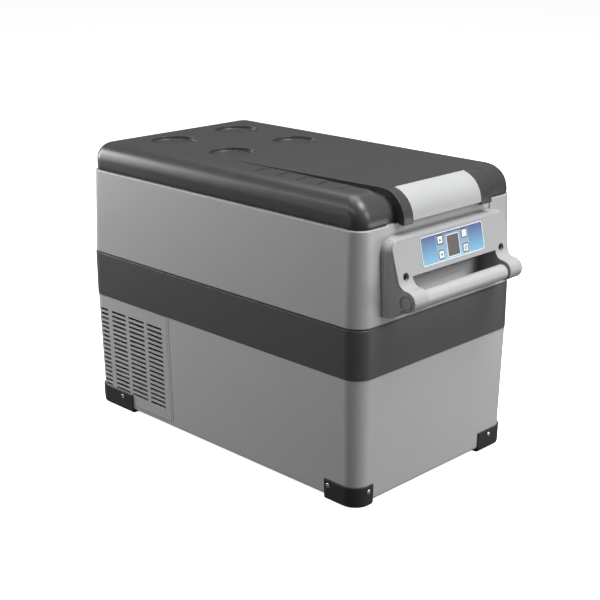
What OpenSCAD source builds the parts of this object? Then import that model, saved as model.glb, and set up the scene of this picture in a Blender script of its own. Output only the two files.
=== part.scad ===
// Compressor cooler fridge: a portable chest cooler with a hinged lid, a
// carrying handle at each end, a control panel over the front handle and a
// vented compressor bay at the rear. X runs along the length with the control
// panel at +X, Z is up, and the origin is on the floor under the middle of
// the body. All sizes are in millimetres.

/* [Body] */
// Length of the body at its widest, along X
body_l = 545; // [540:1:560]
// Width of the body at its widest, along Y
body_w = 320; // [318:1:326]
// Height of the top edge of the body
body_top = 364; // [362:1:366]
// Height of the lower edge of the dark band
band_low = 175; // [170:1:180]
// Height of the upper edge of the dark band
band_high = 242; // [238:1:244]
// Corner radius of the body in plan
corner_r = 26; // [24:1:28]
// Wall thickness of the outer shells
wall_t = 3; // [2.5:0.1:3.2]

/* [Lid] */
// Height of the flat top of the lid
lid_top = 404; // [402:1:408]
// How far the lid stands inside the widest outline of the body
lid_inset = 6.5; // [6:0.5:7]
// Radius of the rolled edge along the sides and rear of the lid
lid_side_r = 22; // [20:1:24]
// Radius of the rolled edge at the front of the lid
lid_front_r = 36; // [32:1:38]
// Diameter of the drink recesses
cup_d = 66; // [60:1:68]
// Depth of the drink recesses
cup_depth = 5; // [4.5:0.5:5]

/* [Compartment] */
// Inner width of the food compartment
tub_w = 254; // [250:1:256]
// Height of the floor of the main compartment
tub_floor = 38; // [36:1:42]
// Height of the floor of the shallow compartment over the compressor
shelf_floor = 214; // [212:1:220]
// Position along X of the rear wall of the main compartment
tub_rear = -40; // [-42:1:-38]

/* [Handles] */
// Height of the handle bar's axis
bar_z = 274.5; // [273:0.5:276]
// Radius of the handle bar
bar_r = 10.5; // [9:0.5:10.5]
// Half the clear span between the handle arms
arm_in = 84; // [80:1:85]
// Tilt of the control panel from the vertical, in degrees
panel_tilt = 12.26; // [12:0.01:12.6]

/* [Motion] */
// Inward travel of a key on the control panel
key_travel = 0.8; // [0.4:0.1:0.8]

/* [Hidden] */
$fn = 48;

// Small allowances
thin = 0.04;        // thickness of one level of a loft
gap = 0.3;          // clearance between fixed mouldings
seam = 0.6;         // visible seam between moving mouldings
run = 0.06;         // radial clearance of a pin in its bore
over = 5;           // how far a cutter runs past a face
loft_fn = 32;       // facets round a loft's corners

// Body outline
half_l = body_l / 2;
half_w = body_w / 2;
floor_gap = 5;                      // height of the shell above the floor
lower_levels = [[6.2, floor_gap], [3.7, floor_gap + 3.5], [0.6, band_low]];
upper_levels = [[1.0, band_high], [5.5, body_top]];
reveal_h = 1.6;                     // dark shadow line at the top of the band
reveal_depth = 1.2;
tray_z = floor_gap + wall_t;        // inside face of the shell's floor

// Compressor bay
bay_front = -90;                    // bay wall's face towards the tub
bay_rear = -262;
bay_top = 198;
bay_half_w = 148;
sheet_t = 2;

// Food compartment
tub_half_w = tub_w / 2;
tub_front = 234;
shelf_rear = -232;
tub_r = 20;
liner_t = 2;
rim_t = 3;
rim_under = body_top - rim_t;
coil_gap = 7;                       // space for the evaporator round the tub
coil_r = 3;

// Vent panels
panel_x = [-262, -96];
panel_z = [11, band_low - 0.4];
slot_columns = [[-252, -234], [-225, -192], [-185, -149], [-142, -108]];
slot_rows = 18;
slot_low = 31;
slot_pitch = 7.15;
slot_h = 3;

// Feet
foot_h = 29;
foot_levels = [[4.5, 0], [1.5, 3], [1.3, foot_h]];
foot_screw_z = 21;
foot_screw_r = 1.75;
foot_head_r = 3.4;
foot_seat = 1.3;                    // from the body's outline in to the screw heads

// Handle housings
housing_top = 350;
housing_low = 252;
housing_half_w = 118;
arm_out = 110;
bar_x = 304.3;
panel_foot = [291.5, 303];          // reference point on the sloped face
arm_start_z = 300;
boss_c = [bar_x, 276.5];
boss_r = 13.5;
skin_t = 2.5;                       // thickness of the fascia
pocket_back = 261;                  // face of the finger recess
pocket_half_w = 91;
pocket_wall = 2.5;
spigot_r = 7;
spigot_l = 18;
cap_r = 10.3;
cap_t = 2.6;
fascia_screw_y = 96.7;
fascia_hole_r = 4.8;

// Control panel, in the plane of the sloped face
overlay_half_w = 62.5;
overlay_low = 5.1;
overlay_h = 36.9;
overlay_t = 0.5;
key_size = 9;
key_left_y = -25;
key_right_y = 24;
key_upper_v = 32.7;
key_lower_v = 14;
lcd_half_w = 11;
lcd_v = [9.2, 34.8];
board_t = 1.6;
board_w = -9;                       // back face of the control board

// Lid
lid_half_l = half_l - lid_inset;
lid_half_w = half_w - lid_inset;
lid_low = body_top + 0.6;
lid_corner_r = 20;
lid_wall = 3.5;
lid_front_in = 247.8;               // front end of the lid's hollow
tongue_half_w = 91;
tongue_c = [240, 366];
tongue_a = 37;
tongue_b = lid_top - 366;
tongue_low = 362.5;
tongue_back = 268.2;
cup_x = [-184, -57];
cup_y = 62;
groove_plan = [[13, -97], [230, -83], [290, -87], [290, -103], [233, -103], [84, -96.5]];
groove_c = [232, 368];               // centre of the curve at the front of the groove's floor
groove_a = 30;
groove_b = 27.6;
rib_x = [84, 124, 160, 197, 233];   // high steps of the ribs beside the groove
rib_l = 33;
rib_y = [-130.5, -101];
rib_depth = 0.9;

// Latch
latch_half_w = 68.6;
latch_c = [247, 400];
latch_barrel_r = 4;
latch_t = 3.5;
latch_pin_r = 1.5;
latch_well = 9;                     // depth of the well behind the plate

// Hinges
hinge_y = [-70, 70];
hinge_c = [-(half_l), body_top + 0.5];
knuckle_r = 4.5;
hinge_pin_r = 2;
hinge_half_w = 25;
knuckle_half_w = 8;

// ---------------------------------------------------------------- helpers

// Points of an arc about c, from angle a0 to a1
function arc(c, r, a0, a1, n = 12) =
    [for (i = [0:n]) c + r * [cos(a0 + (a1 - a0) * i / n), sin(a0 + (a1 - a0) * i / n)]];

// Rounded rectangle about the origin
module rounded(hx, hy, r) {
    square([2 * (hx - r), 2 * hy], center = true);
    square([2 * hx, 2 * (hy - r)], center = true);
    for (sx = [-1, 1], sy = [-1, 1])
        translate([sx * (hx - r), sy * (hy - r)]) circle(r);
}

// Rounded rectangle between two corners
module rounded_span(x, y, r) {
    translate([(x[0] + x[1]) / 2, (y[0] + y[1]) / 2])
        rounded((x[1] - x[0]) / 2, (y[1] - y[0]) / 2, r);
}

// Box between two corners
module span(x, y, z) {
    translate([x[0], y[0], z[0]])
        cube([x[1] - x[0], y[1] - y[0], z[1] - z[0]]);
}

// Loft of body outlines; each level is [inset, height]
module body_loft(levels, grow = 0) {
    hull() for (i = [0:len(levels) - 1])
        translate([0, 0, levels[i][1] - (i == len(levels) - 1 ? thin : 0)])
            linear_extrude(thin)
                rounded(half_l - levels[i][0] + grow, half_w - levels[i][0] + grow,
                        corner_r - levels[i][0] + grow, $fn = loft_fn);
}

// Extrudes a profile drawn in X and Z across the width
module across(half_width) {
    rotate([90, 0, 0]) translate([0, 0, -half_width]) linear_extrude(2 * half_width) children();
}

// Pin or hole along Y between two positions
module rod_y(c, r, y) {
    translate([c[0], y[0], c[1]]) rotate([-90, 0, 0]) cylinder(r = r, h = y[1] - y[0]);
}

// Round bar from one point to another
module rod(a, b, r) {
    d = b - a;
    translate(a) rotate([0, acos(d[2] / norm(d)), atan2(d[1], d[0])]) cylinder(r = r, h = norm(d));
}

// Tube along a list of points, with a ball fitting at each bend
module pipe(points, r) {
    for (i = [0:len(points) - 2]) rod(points[i], points[i + 1], r);
    for (i = [1:len(points) - 2]) translate(points[i]) sphere(r + 0.5);
}

// Plane of the sloped control panel: X outwards, Y across, Z up the slope
module on_panel() {
    translate([panel_foot[0], 0, panel_foot[1]]) rotate([0, -panel_tilt, 0]) children();
}

// ---------------------------------------------------------------- body

module lower_outer(grow = 0) body_loft(lower_levels, grow);

module lower_ring() {
    difference() {
        lower_outer();
        body_loft([[7.9, tray_z], [6.7, tray_z + 3.5], [0.6 + wall_t, band_low + over]]);
    }
}

// Shanks of the screws that hold the feet
module foot_screw_rods(r) {
    for (sx = [-1, 1], sy = [-1, 1]) {
        rod_y([sx * foot_side_screw(sx), foot_screw_z], r,
              sy > 0 ? [half_w - 12, half_w + over] : [-half_w - over, -half_w + 12]);
        translate([sx * (half_l - 12), sy * foot_end_screw(sx, sy), foot_screw_z])
            rotate([0, sx * 90, 0]) cylinder(r = r, h = 12 + over);
    }
}

function foot_side_screw(sx) = sx > 0 ? 221 : 208;
function foot_end_screw(sx, sy) = sx > 0 && sy < 0 ? 134.8 : 119;

module panel_window(side, grow) {
    y = side > 0 ? [110, half_w + over] : [-half_w - over, -110];
    span([panel_x[0] - grow, panel_x[1] + grow], y, [panel_z[0] - grow, panel_z[1] + grow]);
}

inlet_z = 160;
dc_y = 20;
ac_y = 78;
inlet_half = [13, 11];              // half width and height of a socket's hole

module lower_shell() {
    color([0.62, 0.63, 0.65]) difference() {
        lower_ring();
        panel_window(-1, 0);
        panel_window(1, 0);
        foot_screw_rods(foot_screw_r + gap);
        for (y = [dc_y, ac_y])
            span([-half_l - over, -half_l + 12], [y - inlet_half[0], y + inlet_half[0]],
                 [inlet_z - inlet_half[1], inlet_z + inlet_half[1]]);
    }
}

module vent_panel(side) {
    color([0.62, 0.63, 0.65]) difference() {
        intersection() {
            lower_ring();
            panel_window(side, -0.4);
        }
        translate([0, side * half_w, 0]) across(30) vent_slots();
        foot_screw_rods(foot_screw_r + gap);
    }
}

// All slots of one panel, drawn in X and Z
module vent_slots() {
    r = slot_h / 2;
    for (c = slot_columns, row = [0:slot_rows - 1]) {
        z = slot_low + row * slot_pitch;
        translate([(c[0] + c[1]) / 2, z]) square([c[1] - c[0] - slot_h, slot_h], center = true);
        for (x = [c[0] + r, c[1] - r]) translate([x, z]) circle(r, $fn = 24);
    }
}

module middle_band() {
    color([0.25, 0.25, 0.26]) difference() {
        translate([0, 0, band_low]) linear_extrude(band_high - band_low)
            rounded(half_l, half_w, corner_r);
        translate([0, 0, band_low - over]) linear_extrude(band_high - band_low + 2 * over)
            rounded(half_l - wall_t, half_w - wall_t, corner_r - wall_t);
        translate([0, 0, band_high - reveal_h]) linear_extrude(reveal_h + over) difference() {
            rounded(half_l + over, half_w + over, corner_r + over);
            rounded(half_l - reveal_depth, half_w - reveal_depth, corner_r - reveal_depth);
        }
    }
}

module upper_outer(grow = 0) body_loft(upper_levels, grow);

module upper_shell() {
    window_y = pocket_half_w + pocket_wall + gap;
    window_z = [housing_low - pocket_wall - gap, panel_foot[1] + 2];
    color([0.66, 0.67, 0.69]) difference() {
        upper_outer();
        body_loft([[1 + wall_t, band_high - over], [5.5 + wall_t, body_top + over]]);
        for (sx = [-1, 1]) mirror([sx < 0 ? 1 : 0, 0, 0])
            span([half_l - 20, half_l + over], [-window_y, window_y], window_z);
        span([half_l - 7, half_l + over], [-101, 101], [housing_top + gap, body_top + over]);
    }
}

module top_rim() {
    inset = upper_levels[1][0] + wall_t + gap;
    color([0.72, 0.73, 0.74]) translate([0, 0, rim_under]) linear_extrude(rim_t) difference() {
        rounded(half_l - inset, half_w - inset, corner_r - inset);
        rounded_span([shelf_rear, tub_front], [-tub_half_w, tub_half_w], tub_r);
    }
}

// One block of the food compartment, grown by g on every side but the top
module tub_block(x, z, g) {
    translate([0, 0, z[0] - g]) linear_extrude(z[1] - z[0] + g)
        rounded_span([x[0] - g, x[1] + g], [-tub_half_w - g, tub_half_w + g], tub_r + g);
}

module tub(g, top) {
    tub_block([tub_rear, tub_front], [tub_floor, top], g);
    tub_block([shelf_rear, tub_front], [shelf_floor, top], g);
}

module inner_liner() {
    color([0.86, 0.87, 0.88]) difference() {
        tub(liner_t, rim_under);
        tub(0, rim_under + over);
    }
}

module body_foam() {
    color([0.93, 0.86, 0.66]) difference() {
        body_loft([[9.2, tray_z + gap], [7.4, tray_z + 4], [4.6, band_low],
                   [4.9, band_high], [9.2, rim_under - gap]]);
        tub(liner_t + gap, body_top);
        tub_block([tub_rear, tub_front], [tub_floor + 8, bay_top - 2], coil_gap + liner_t);
        span([-half_l, bay_front + gap], [-half_w, half_w], [0, bay_top + gap]);
        for (sx = [-1, 1]) mirror([sx < 0 ? 1 : 0, 0, 0])
            span([pocket_back - pocket_wall - gap, half_l],
                 [-pocket_half_w - pocket_wall - gap, pocket_half_w + pocket_wall + gap],
                 [housing_low - pocket_wall - 2 * gap, panel_foot[1] + 3]);
        suction_route(coil_r + gap);
    }
}

module bay_wall() {
    color([0.78, 0.79, 0.8]) difference() {
        union() {
            span([bay_front - sheet_t, bay_front], [-bay_half_w, bay_half_w],
                 [tray_z + sheet_t + 0.5, bay_top]);
            span([bay_rear, bay_front], [-bay_half_w, bay_half_w], [bay_top - sheet_t, bay_top]);
        }
        suction_route(coil_r + gap);
    }
}

module base_tray() {
    color([0.7, 0.71, 0.72])
        span([-256, bay_front - sheet_t], [-144, 144], [tray_z, tray_z + sheet_t]);
}

// ---------------------------------------------------------------- feet

// Corner foot; lengths along the side and the end, each as [top, bottom]
module foot(sx, sy, side_len, end_len) {
    color([0.2, 0.2, 0.21]) difference() {
        intersection() {
            body_loft(foot_levels);
            union() {
                scale_side(sx, sy) rotate([90, 0, 0]) translate([0, 0, -half_w - over])
                    linear_extrude(end_len[1] + over)
                        foot_face(half_l, side_len);
                scale_side(sx, sy) rotate([90, 0, 90]) translate([0, 0, half_l - side_len[1]])
                    linear_extrude(side_len[1] + over)
                        foot_face(half_w, end_len);
            }
        }
        lower_outer(0.05);
        foot_screw_rods(foot_screw_r + 0.1);
    }
}

// Mirrors the first quadrant into the quadrant of a foot
module scale_side(sx, sy) {
    mirror([sx < 0 ? 1 : 0, 0, 0]) mirror([0, sy < 0 ? 1 : 0, 0]) children();
}

// Outline of one face of a foot: splayed towards the floor, rounded on top
module foot_face(edge, len) {
    r = 4;
    polygon(concat([[edge + over, -over], [edge - len[1], -over], [edge - len[1], 0]],
                   arc([edge - len[0] + r, foot_h - r], r, 170, 90, 6), [[edge + over, foot_h]]));
}

module foot_screws() {
    color([0.45, 0.45, 0.46]) for (sx = [-1, 1], sy = [-1, 1]) scale_side(sx, sy) {
        translate([foot_side_screw(sx), half_w - foot_seat, foot_screw_z]) rotate([-90, 0, 0])
            foot_screw();
        translate([half_l - foot_seat, foot_end_screw(sx, sy), foot_screw_z]) rotate([0, 90, 0])
            foot_screw();
    }
}

// Pan-head screw with its head outwards along Z
module foot_screw() {
    cylinder(r1 = foot_head_r, r2 = foot_head_r - 0.8, h = 1.2);
    translate([0, 0, -5]) cylinder(r = foot_screw_r, h = 5 + thin);
}

// ---------------------------------------------------------------- cooling unit

compressor_c = [-195, -62];
compressor_r = 48;
compressor_z = [24, 138];
discharge_z = 100;

module compressor() {
    dome = 22;
    body_h = compressor_z[1] - compressor_z[0];
    color([0.13, 0.13, 0.14]) translate([compressor_c[0], compressor_c[1], compressor_z[0]]) {
        difference() {
            union() {
                rotate_extrude() polygon(concat([[0, 0], [compressor_r - 6, 0]],
                    arc([compressor_r - 8, 8], 8, -60, 0, 6),
                    [for (a = [0:10:90]) [compressor_r * cos(a), body_h - dome + dome * sin(a)]]));
                rotate_extrude() translate([compressor_r - 1, body_h / 2 - 2]) square([3.5, 4]);
                translate([0, 0, -1]) linear_extrude(3) rounded(50, 50, 10);
            }
            rod([-compressor_r - over, 0, body_h / 2 + 20], [-compressor_r + 2, 0, body_h / 2 + 20],
                coil_r + gap);
            rod([-20, compressor_r - 8, discharge_z - compressor_z[0]],
                [-20, compressor_r + over, discharge_z - compressor_z[0]], coil_r + gap);
        }
        translate([0, compressor_r - 2, 56]) rotate([-90, 0, 0]) cylinder(r = 9, h = 7);
    }
}

module compressor_grommets() {
    tray_top = tray_z + sheet_t;
    under = compressor_z[0] - 1;
    color([0.08, 0.08, 0.08]) for (sx = [-1, 1], sy = [-1, 1])
        translate([compressor_c[0] + sx * 40, compressor_c[1] + sy * 40, tray_top])
            rotate_extrude() polygon([[0, 0], [9, 0], [9, 3], [6.5, 5], [6.5, under - tray_top - 4],
                [9, under - tray_top - 2], [9, under - tray_top], [0, under - tray_top]]);
}

condenser_y = 112;
condenser_x = [-234, -126];
condenser_z = [40, 140];
condenser_runs = 6;
run_pitch = (condenser_z[1] - condenser_z[0]) / (condenser_runs - 1);

// Serpentine tube lying in the X-Z plane
module condenser_tube() {
    color([0.72, 0.45, 0.3]) {
        for (i = [0:condenser_runs - 1])
            rod([condenser_x[0], condenser_y, condenser_z[0] + i * run_pitch],
                [condenser_x[1], condenser_y, condenser_z[0] + i * run_pitch], coil_r);
        for (i = [0:condenser_runs - 2])
            translate([condenser_x[i % 2 == 0 ? 1 : 0], condenser_y,
                       condenser_z[0] + (i + 0.5) * run_pitch])
                rotate([90, 0, 0]) rotate([0, 0, i % 2 == 0 ? -90 : 90])
                    rotate_extrude(angle = 180) translate([run_pitch / 2, 0]) circle(coil_r);
    }
}

// Upright wires either side of the tube; the end ones stand on the tray
module condenser_wires() {
    wire_r = 0.8;
    wires = 14;
    step = (condenser_x[1] - condenser_x[0]) / (wires - 1);
    color([0.15, 0.15, 0.16]) for (side = [-1, 1], i = [0:wires - 1]) {
        low = i % (wires - 1) == 0 ? tray_z + sheet_t : condenser_z[0] - 6;
        translate([condenser_x[0] + i * step, condenser_y + side * (coil_r + wire_r + 0.02), low])
            cylinder(r = wire_r, h = condenser_z[1] + 6 - low, $fn = 16);
    }
}

fan_c = [-180, 90];
fan_y = [62, 87];
fan_half = 60;
fan_hole_r = 56;
fan_hub_r = 20;
fan_shaft_r = 2.5;

module fan_frame() {
    spider = [fan_y[1] - 3.5, fan_y[1] - 0.5];
    color([0.1, 0.1, 0.11]) {
        translate([fan_c[0], fan_y[1], fan_c[1]]) rotate([90, 0, 0])
            linear_extrude(fan_y[1] - fan_y[0]) difference() {
                rounded(fan_half, fan_half, 6);
                circle(fan_hole_r, $fn = 96);
            }
        rod_y(fan_c, fan_hub_r, [spider[0], spider[1] + 0.3]);
        rod_y(fan_c, fan_shaft_r, [fan_y[0] + 4, fan_y[1] - 2]);
        for (a = [45:90:315]) translate([fan_c[0], 0, fan_c[1]]) rotate([0, a, 0])
            span([fan_hub_r - 2, fan_hole_r + 2], spider, [-3, 3]);
        for (sx = [-1, 1]) translate([fan_c[0] + sx * 45, 0, 0])
            span([-8, 8], [fan_y[0] + 0.5, fan_y[1] - 1], [tray_z + sheet_t, fan_c[1] - fan_half + 1]);
    }
}

module fan_rotor() {
    blades = 7;
    depth = [fan_y[0] + 2, fan_y[1] - 4.5];
    color([0.12, 0.12, 0.13]) difference() {
        union() {
            rod_y(fan_c, fan_hub_r - 1, depth);
            intersection() {
                rod_y(fan_c, fan_hole_r - 2, depth);
                for (i = [0:blades - 1]) translate([fan_c[0], (depth[0] + depth[1]) / 2, fan_c[1]])
                    rotate([0, i * 360 / blades, 0]) rotate([38, 0, 0])
                        span([fan_hub_r - 3, fan_hole_r], [-13, 13], [-1, 1]);
            }
        }
        rod_y(fan_c, fan_shaft_r + run, [depth[0] - over, depth[1] + over]);
    }
}

driver_y = [-66, 24];
driver_z = [104, 184];

module driver_heatsink() {
    face = bay_front - sheet_t;
    fins = 9;
    pitch = (driver_y[1] - driver_y[0] - 3) / (fins - 1);
    color([0.68, 0.69, 0.7]) {
        span([face - 4, face], driver_y, driver_z);
        for (i = [0:fins - 1])
            span([face - 20, face - 3], [driver_y[0] + i * pitch, driver_y[0] + i * pitch + 3],
                 [driver_z[0], driver_z[0] + 38]);
    }
}

module driver_board() {
    face = bay_front - sheet_t - 4;
    color([0.1, 0.35, 0.18]) {
        span([face - 8, face - 6.4], [driver_y[0] + 3, driver_y[1] - 3], [driver_z[0] + 42, driver_z[1] - 2]);
        for (i = [0:2]) translate([face - 7.5, driver_y[0] + 18 + i * 22, driver_z[1] - 18])
            rotate([0, -90, 0]) cylinder(r = 7, h = 12);
        for (y = [driver_y[0] + 8, driver_y[1] - 8], z = [driver_z[0] + 47, driver_z[1] - 7])
            translate([face - 6.5, y, z])
                rotate([0, 90, 0]) cylinder(r = 2.5, h = 6.5);
    }
}

drier_x = -107;
drier_z = [40, 90];

module filter_drier() {
    color([0.75, 0.48, 0.33]) translate([drier_x, 60, 0]) rotate_extrude()
        polygon([[0, drier_z[0]], [3.5, drier_z[0]], [9, drier_z[0] + 7], [9, drier_z[1] - 7],
                 [3.5, drier_z[1]], [0, drier_z[1]]]);
}

suction_start = [tub_rear - 8.5, 100, 102];

// Suction line from the evaporator through the bay wall
module suction_route(r) {
    pipe([suction_start, [-106, 100, suction_start[2]]], r);
}

module refrigerant_lines() {
    inlet = [compressor_c[0], compressor_c[1]];
    mid = (compressor_z[0] + compressor_z[1]) / 2 + 20;
    color([0.76, 0.48, 0.32]) {
        // suction line, tub side to compressor
        pipe([suction_start, [-106, 100, suction_start[2]], [-106, 100, 188], [-252, 100, 188],
              [-252, -62, 188], [-252, -62, mid], [inlet[0] - compressor_r + 1.5, -62, mid]], coil_r);
        // liquid line, condenser to drier
        pipe([[condenser_x[0] - 0.2, condenser_y, condenser_z[0]],
              [condenser_x[0] - 12, condenser_y, condenser_z[0]],
              [condenser_x[0] - 12, condenser_y, 22], [drier_x, condenser_y, 22],
              [drier_x, 60, 22], [drier_x, 60, drier_z[0] - 0.1]], coil_r);
        // discharge line, compressor to condenser
        pipe([[compressor_c[0] - 20, compressor_c[1] + 41, discharge_z],
              [compressor_c[0] - 20, 40, discharge_z], [-252, 40, discharge_z],
              [-252, condenser_y, discharge_z], [-252, condenser_y, condenser_z[1]],
              [condenser_x[0] - 0.2, condenser_y, condenser_z[1]]], coil_r);
    }
}

// Loops of tube round the outside of the food compartment, on one header
module evaporator_coil() {
    off = liner_t + coil_r + 0.4;
    x = [tub_rear - off, tub_front + off];
    y = tub_half_w + off;
    bend = tub_r + off;
    loops = 4;
    pitch = 42;
    low = 60;
    color([0.72, 0.45, 0.3]) {
        for (k = [0:loops - 1]) translate([0, 0, low + k * pitch]) {
            for (sy = [-1, 1])
                rod([x[0] + bend, sy * y, 0], [x[1] - bend, sy * y, 0], coil_r);
            for (i = [0, 1]) rod([x[i], bend - y, 0], [x[i], y - bend, 0], coil_r);
            for (i = [0:3]) translate([x[i % 3 == 0 ? 1 : 0] + (i % 3 == 0 ? -bend : bend),
                                       (i < 2 ? 1 : -1) * (y - bend), 0])
                rotate(i * 90) rotate_extrude(angle = 90) translate([bend, 0]) circle(coil_r);
        }
        translate([x[0], 0, low]) cylinder(r = coil_r - 0.5, h = pitch * (loops - 1));
    }
}

// ---------------------------------------------------------------- handles

// Side outline of a handle housing, moved inwards by t along its face
function housing_outline(t, low) = let(
        n = [cos(panel_tilt), sin(panel_tilt)],
        slope = [-sin(panel_tilt), cos(panel_tilt)],
        foot = panel_foot - t * n,
        start = foot + slope * (arm_start_z - panel_foot[1]) / slope[1],
        top = foot + slope * (housing_top - 3 - panel_foot[1]) / slope[1],
        d = boss_c - (start + t * n),
        fillet = (d * d - boss_r * boss_r) / (2 * (boss_r + (d * n))),
        hub = start + t * n + fillet * n,
        away = hub - boss_c,
        meet = atan2(away[1], away[0]))
    concat([[250, low], [250, housing_top - t], [top[0] - 2.6, housing_top - t],
            [top[0] - 0.6, housing_top - 0.9 - t], top],
           arc(hub, fillet + t, 180 + panel_tilt, 180 + meet, 10),
           arc(boss_c, boss_r - t, meet - 4, -118, 22),
           [[290, 256.5], [283, low]]);

module housing_side(t, low = housing_low) polygon(housing_outline(t, low));

// Plan outline: wide at the body, drawing in towards the bar
module housing_plan() {
    polygon([[240, -housing_half_w], [268, -housing_half_w], [296, -arm_out - 0.4],
             [330, -arm_out], [330, arm_out], [296, arm_out + 0.4], [268, housing_half_w],
             [240, housing_half_w]]);
}

// Front outline, with rounded upper corners
module housing_front() {
    r = 10;
    rounded_span([-housing_half_w, housing_half_w], [housing_low - 40, housing_top], r);
}

module housing_block(t, low = housing_low) {
    intersection() {
        across(housing_half_w + over) housing_side(t, low);
        translate([0, 0, 200]) linear_extrude(200) housing_plan();
        rotate([90, 0, 90]) linear_extrude(400) housing_front();
    }
}

// Finger gap between the arms
module finger_gap(low_w, high_w, top) {
    translate([0, 0, 200]) linear_extrude(top - 200)
        polygon([[pocket_back - 20, -high_w], [320, -low_w], [320, low_w], [pocket_back - 20, high_w]]);
}

module fascia_screw_holes(head_r, shank_r, depth) {
    for (sy = [-1, 1]) on_panel() translate([0, sy * fascia_screw_y, 0]) rotate([0, 90, 0]) {
        translate([0, 0, -depth]) cylinder(r = head_r, h = depth + over);
        translate([0, 0, -22]) cylinder(r = shank_r, h = 22);
    }
}

module handle_base() {
    difference() {
        union() {
            difference() {
                housing_block(skin_t + 0.1);
                finger_gap(arm_in, pocket_half_w + 0.6, panel_foot[1] - 1.5);
                upper_outer(0.1);
            }
            difference() {
                span([pocket_back - pocket_wall, 275],
                     [-pocket_half_w - pocket_wall, pocket_half_w + pocket_wall],
                     [housing_low - pocket_wall, panel_foot[1] + 1]);
                span([pocket_back, 320], [-pocket_half_w, pocket_half_w],
                     [housing_low, panel_foot[1] - 1.5]);
                span([half_l - 1, 320], [-half_w, half_w], [200, housing_low]);
            }
        }
        on_panel() span([-24, 0], [-66, 66], [4, 43]);
        fascia_screw_holes(fascia_hole_r - 0.2, 2 + run, skin_t + 3);
        for (sy = [-1, 1]) mirror([0, sy < 0 ? 1 : 0, 0]) {
            rod_y([bar_x, bar_z], spigot_r + run, [arm_in - 1, arm_in + spigot_l + 0.5]);
            rod_y([bar_x, bar_z], cap_r + 0.1, [arm_out - cap_t + 0.6, arm_out + over]);
        }
    }
}

module fascia(display) {
    difference() {
        housing_block(0);
        housing_block_inner();
        finger_gap(arm_in, arm_in, panel_foot[1] - 1.5);
        upper_outer(0.1);
        fascia_screw_holes(fascia_hole_r, fascia_hole_r, 6);
        for (sy = [-1, 1]) mirror([0, sy < 0 ? 1 : 0, 0])
            rod_y([bar_x, bar_z], cap_r + 0.1, [arm_out - cap_t + 0.6, arm_out + over]);
        if (display) {
            on_panel() translate([-overlay_t - 0.1, 0, 0]) rotate([90, 0, 90]) linear_extrude(over)
                translate([0, overlay_low + overlay_h / 2])
                    rounded(overlay_half_w + 0.2, overlay_h / 2 + 0.2, 4.2);
            on_panel() panel_holes([-skin_t - over, over]);
        }
    }
}

// Volume behind the fascia, run out past the back and the underside
module housing_block_inner() {
    across(housing_half_w + 2 * over) housing_side(skin_t, housing_low - over);
}

// Openings for the display and the keys, through the given depth
module panel_holes(depth) {
    span(depth, [-lcd_half_w - gap, lcd_half_w + gap], [lcd_v[0] - gap, lcd_v[1] + gap]);
    for (k = key_places)
        translate([0, k[0], k[1]]) span(depth, [-key_size / 2 - gap, key_size / 2 + gap],
                                        [-key_size / 2 - gap, key_size / 2 + gap]);
}

key_places = [[key_left_y, key_upper_v], [key_left_y, key_lower_v],
              [key_right_y, key_upper_v], [key_right_y, key_lower_v]];

module handle_bar() {
    for (r = [[bar_r, arm_in - 0.3], [spigot_r, arm_in + spigot_l]])
        rod_y([bar_x, bar_z], r[0], [-r[1], r[1]]);
}

module front_handle_base() color([0.42, 0.43, 0.44]) handle_base();
module front_fascia() color([0.8, 0.81, 0.82]) fascia(true);
module front_handle_bar() color([0.9, 0.9, 0.91]) handle_bar();
module rear_handle_base() color([0.42, 0.43, 0.44]) mirror([1, 0, 0]) handle_base();
module rear_fascia() color([0.8, 0.81, 0.82]) mirror([1, 0, 0]) fascia(false);
module rear_handle_bar() color([0.9, 0.9, 0.91]) mirror([1, 0, 0]) handle_bar();

module handle_end_caps() {
    color([0.4, 0.41, 0.42]) for (sx = [-1, 1], sy = [-1, 1]) scale_side(sx, sy) {
        rod_y([bar_x, bar_z], cap_r, [arm_out - cap_t + 0.7, arm_out - 0.2]);
        rod_y([bar_x, bar_z], cap_r - 2, [arm_out - 1, arm_out + 0.4]);
    }
}

module fascia_screws() {
    color([0.25, 0.25, 0.26]) for (sx = [-1, 1], sy = [-1, 1]) scale_side(sx, sy) on_panel()
        translate([-skin_t - 2.9, fascia_screw_y, 0]) rotate([0, 90, 0]) {
            difference() {
                cylinder(r = 3.5, h = 2.4);
                for (a = [0, 90]) rotate(a) span([-2.2, 2.2], [-0.5, 0.5], [1.2, over]);
            }
            translate([0, 0, -15]) cylinder(r = 2, h = 15 + thin);
        }
}

// ---------------------------------------------------------------- control panel

module display_overlay() {
    color([0.36, 0.5, 0.75]) on_panel() difference() {
        translate([-overlay_t, 0, 0]) rotate([90, 0, 90]) linear_extrude(overlay_t)
            translate([0, overlay_low + overlay_h / 2]) rounded(overlay_half_w, overlay_h / 2, 4);
        panel_holes([-over, over]);
    }
}

module display_module() {
    color([0.3, 0.28, 0.26]) on_panel() {
        span([-2.8, -0.2], [-lcd_half_w, lcd_half_w], lcd_v);
        span([-5.5, -skin_t - 0.2], [-lcd_half_w - 2, lcd_half_w + 2],
             [lcd_v[0] - 2, lcd_v[1] + 4]);
        for (y = [-9, 9]) span([-7.3, -5], [y - 1, y + 1], [lcd_v[0], lcd_v[1]]);
    }
}

module control_board() {
    color([0.1, 0.35, 0.18]) on_panel() {
        span([board_w, board_w + board_t], [-60, 60], [6, 41]);
        for (k = key_places) translate([board_w + board_t - thin, k[0], k[1]]) rotate([0, 90, 0])
            cylinder(r = 3, h = 0.9);
        for (y = [-50, -38, 40, 52]) span([board_w - 7, board_w + thin], [y - 5, y + 5], [14, 30]);
    }
}

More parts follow.
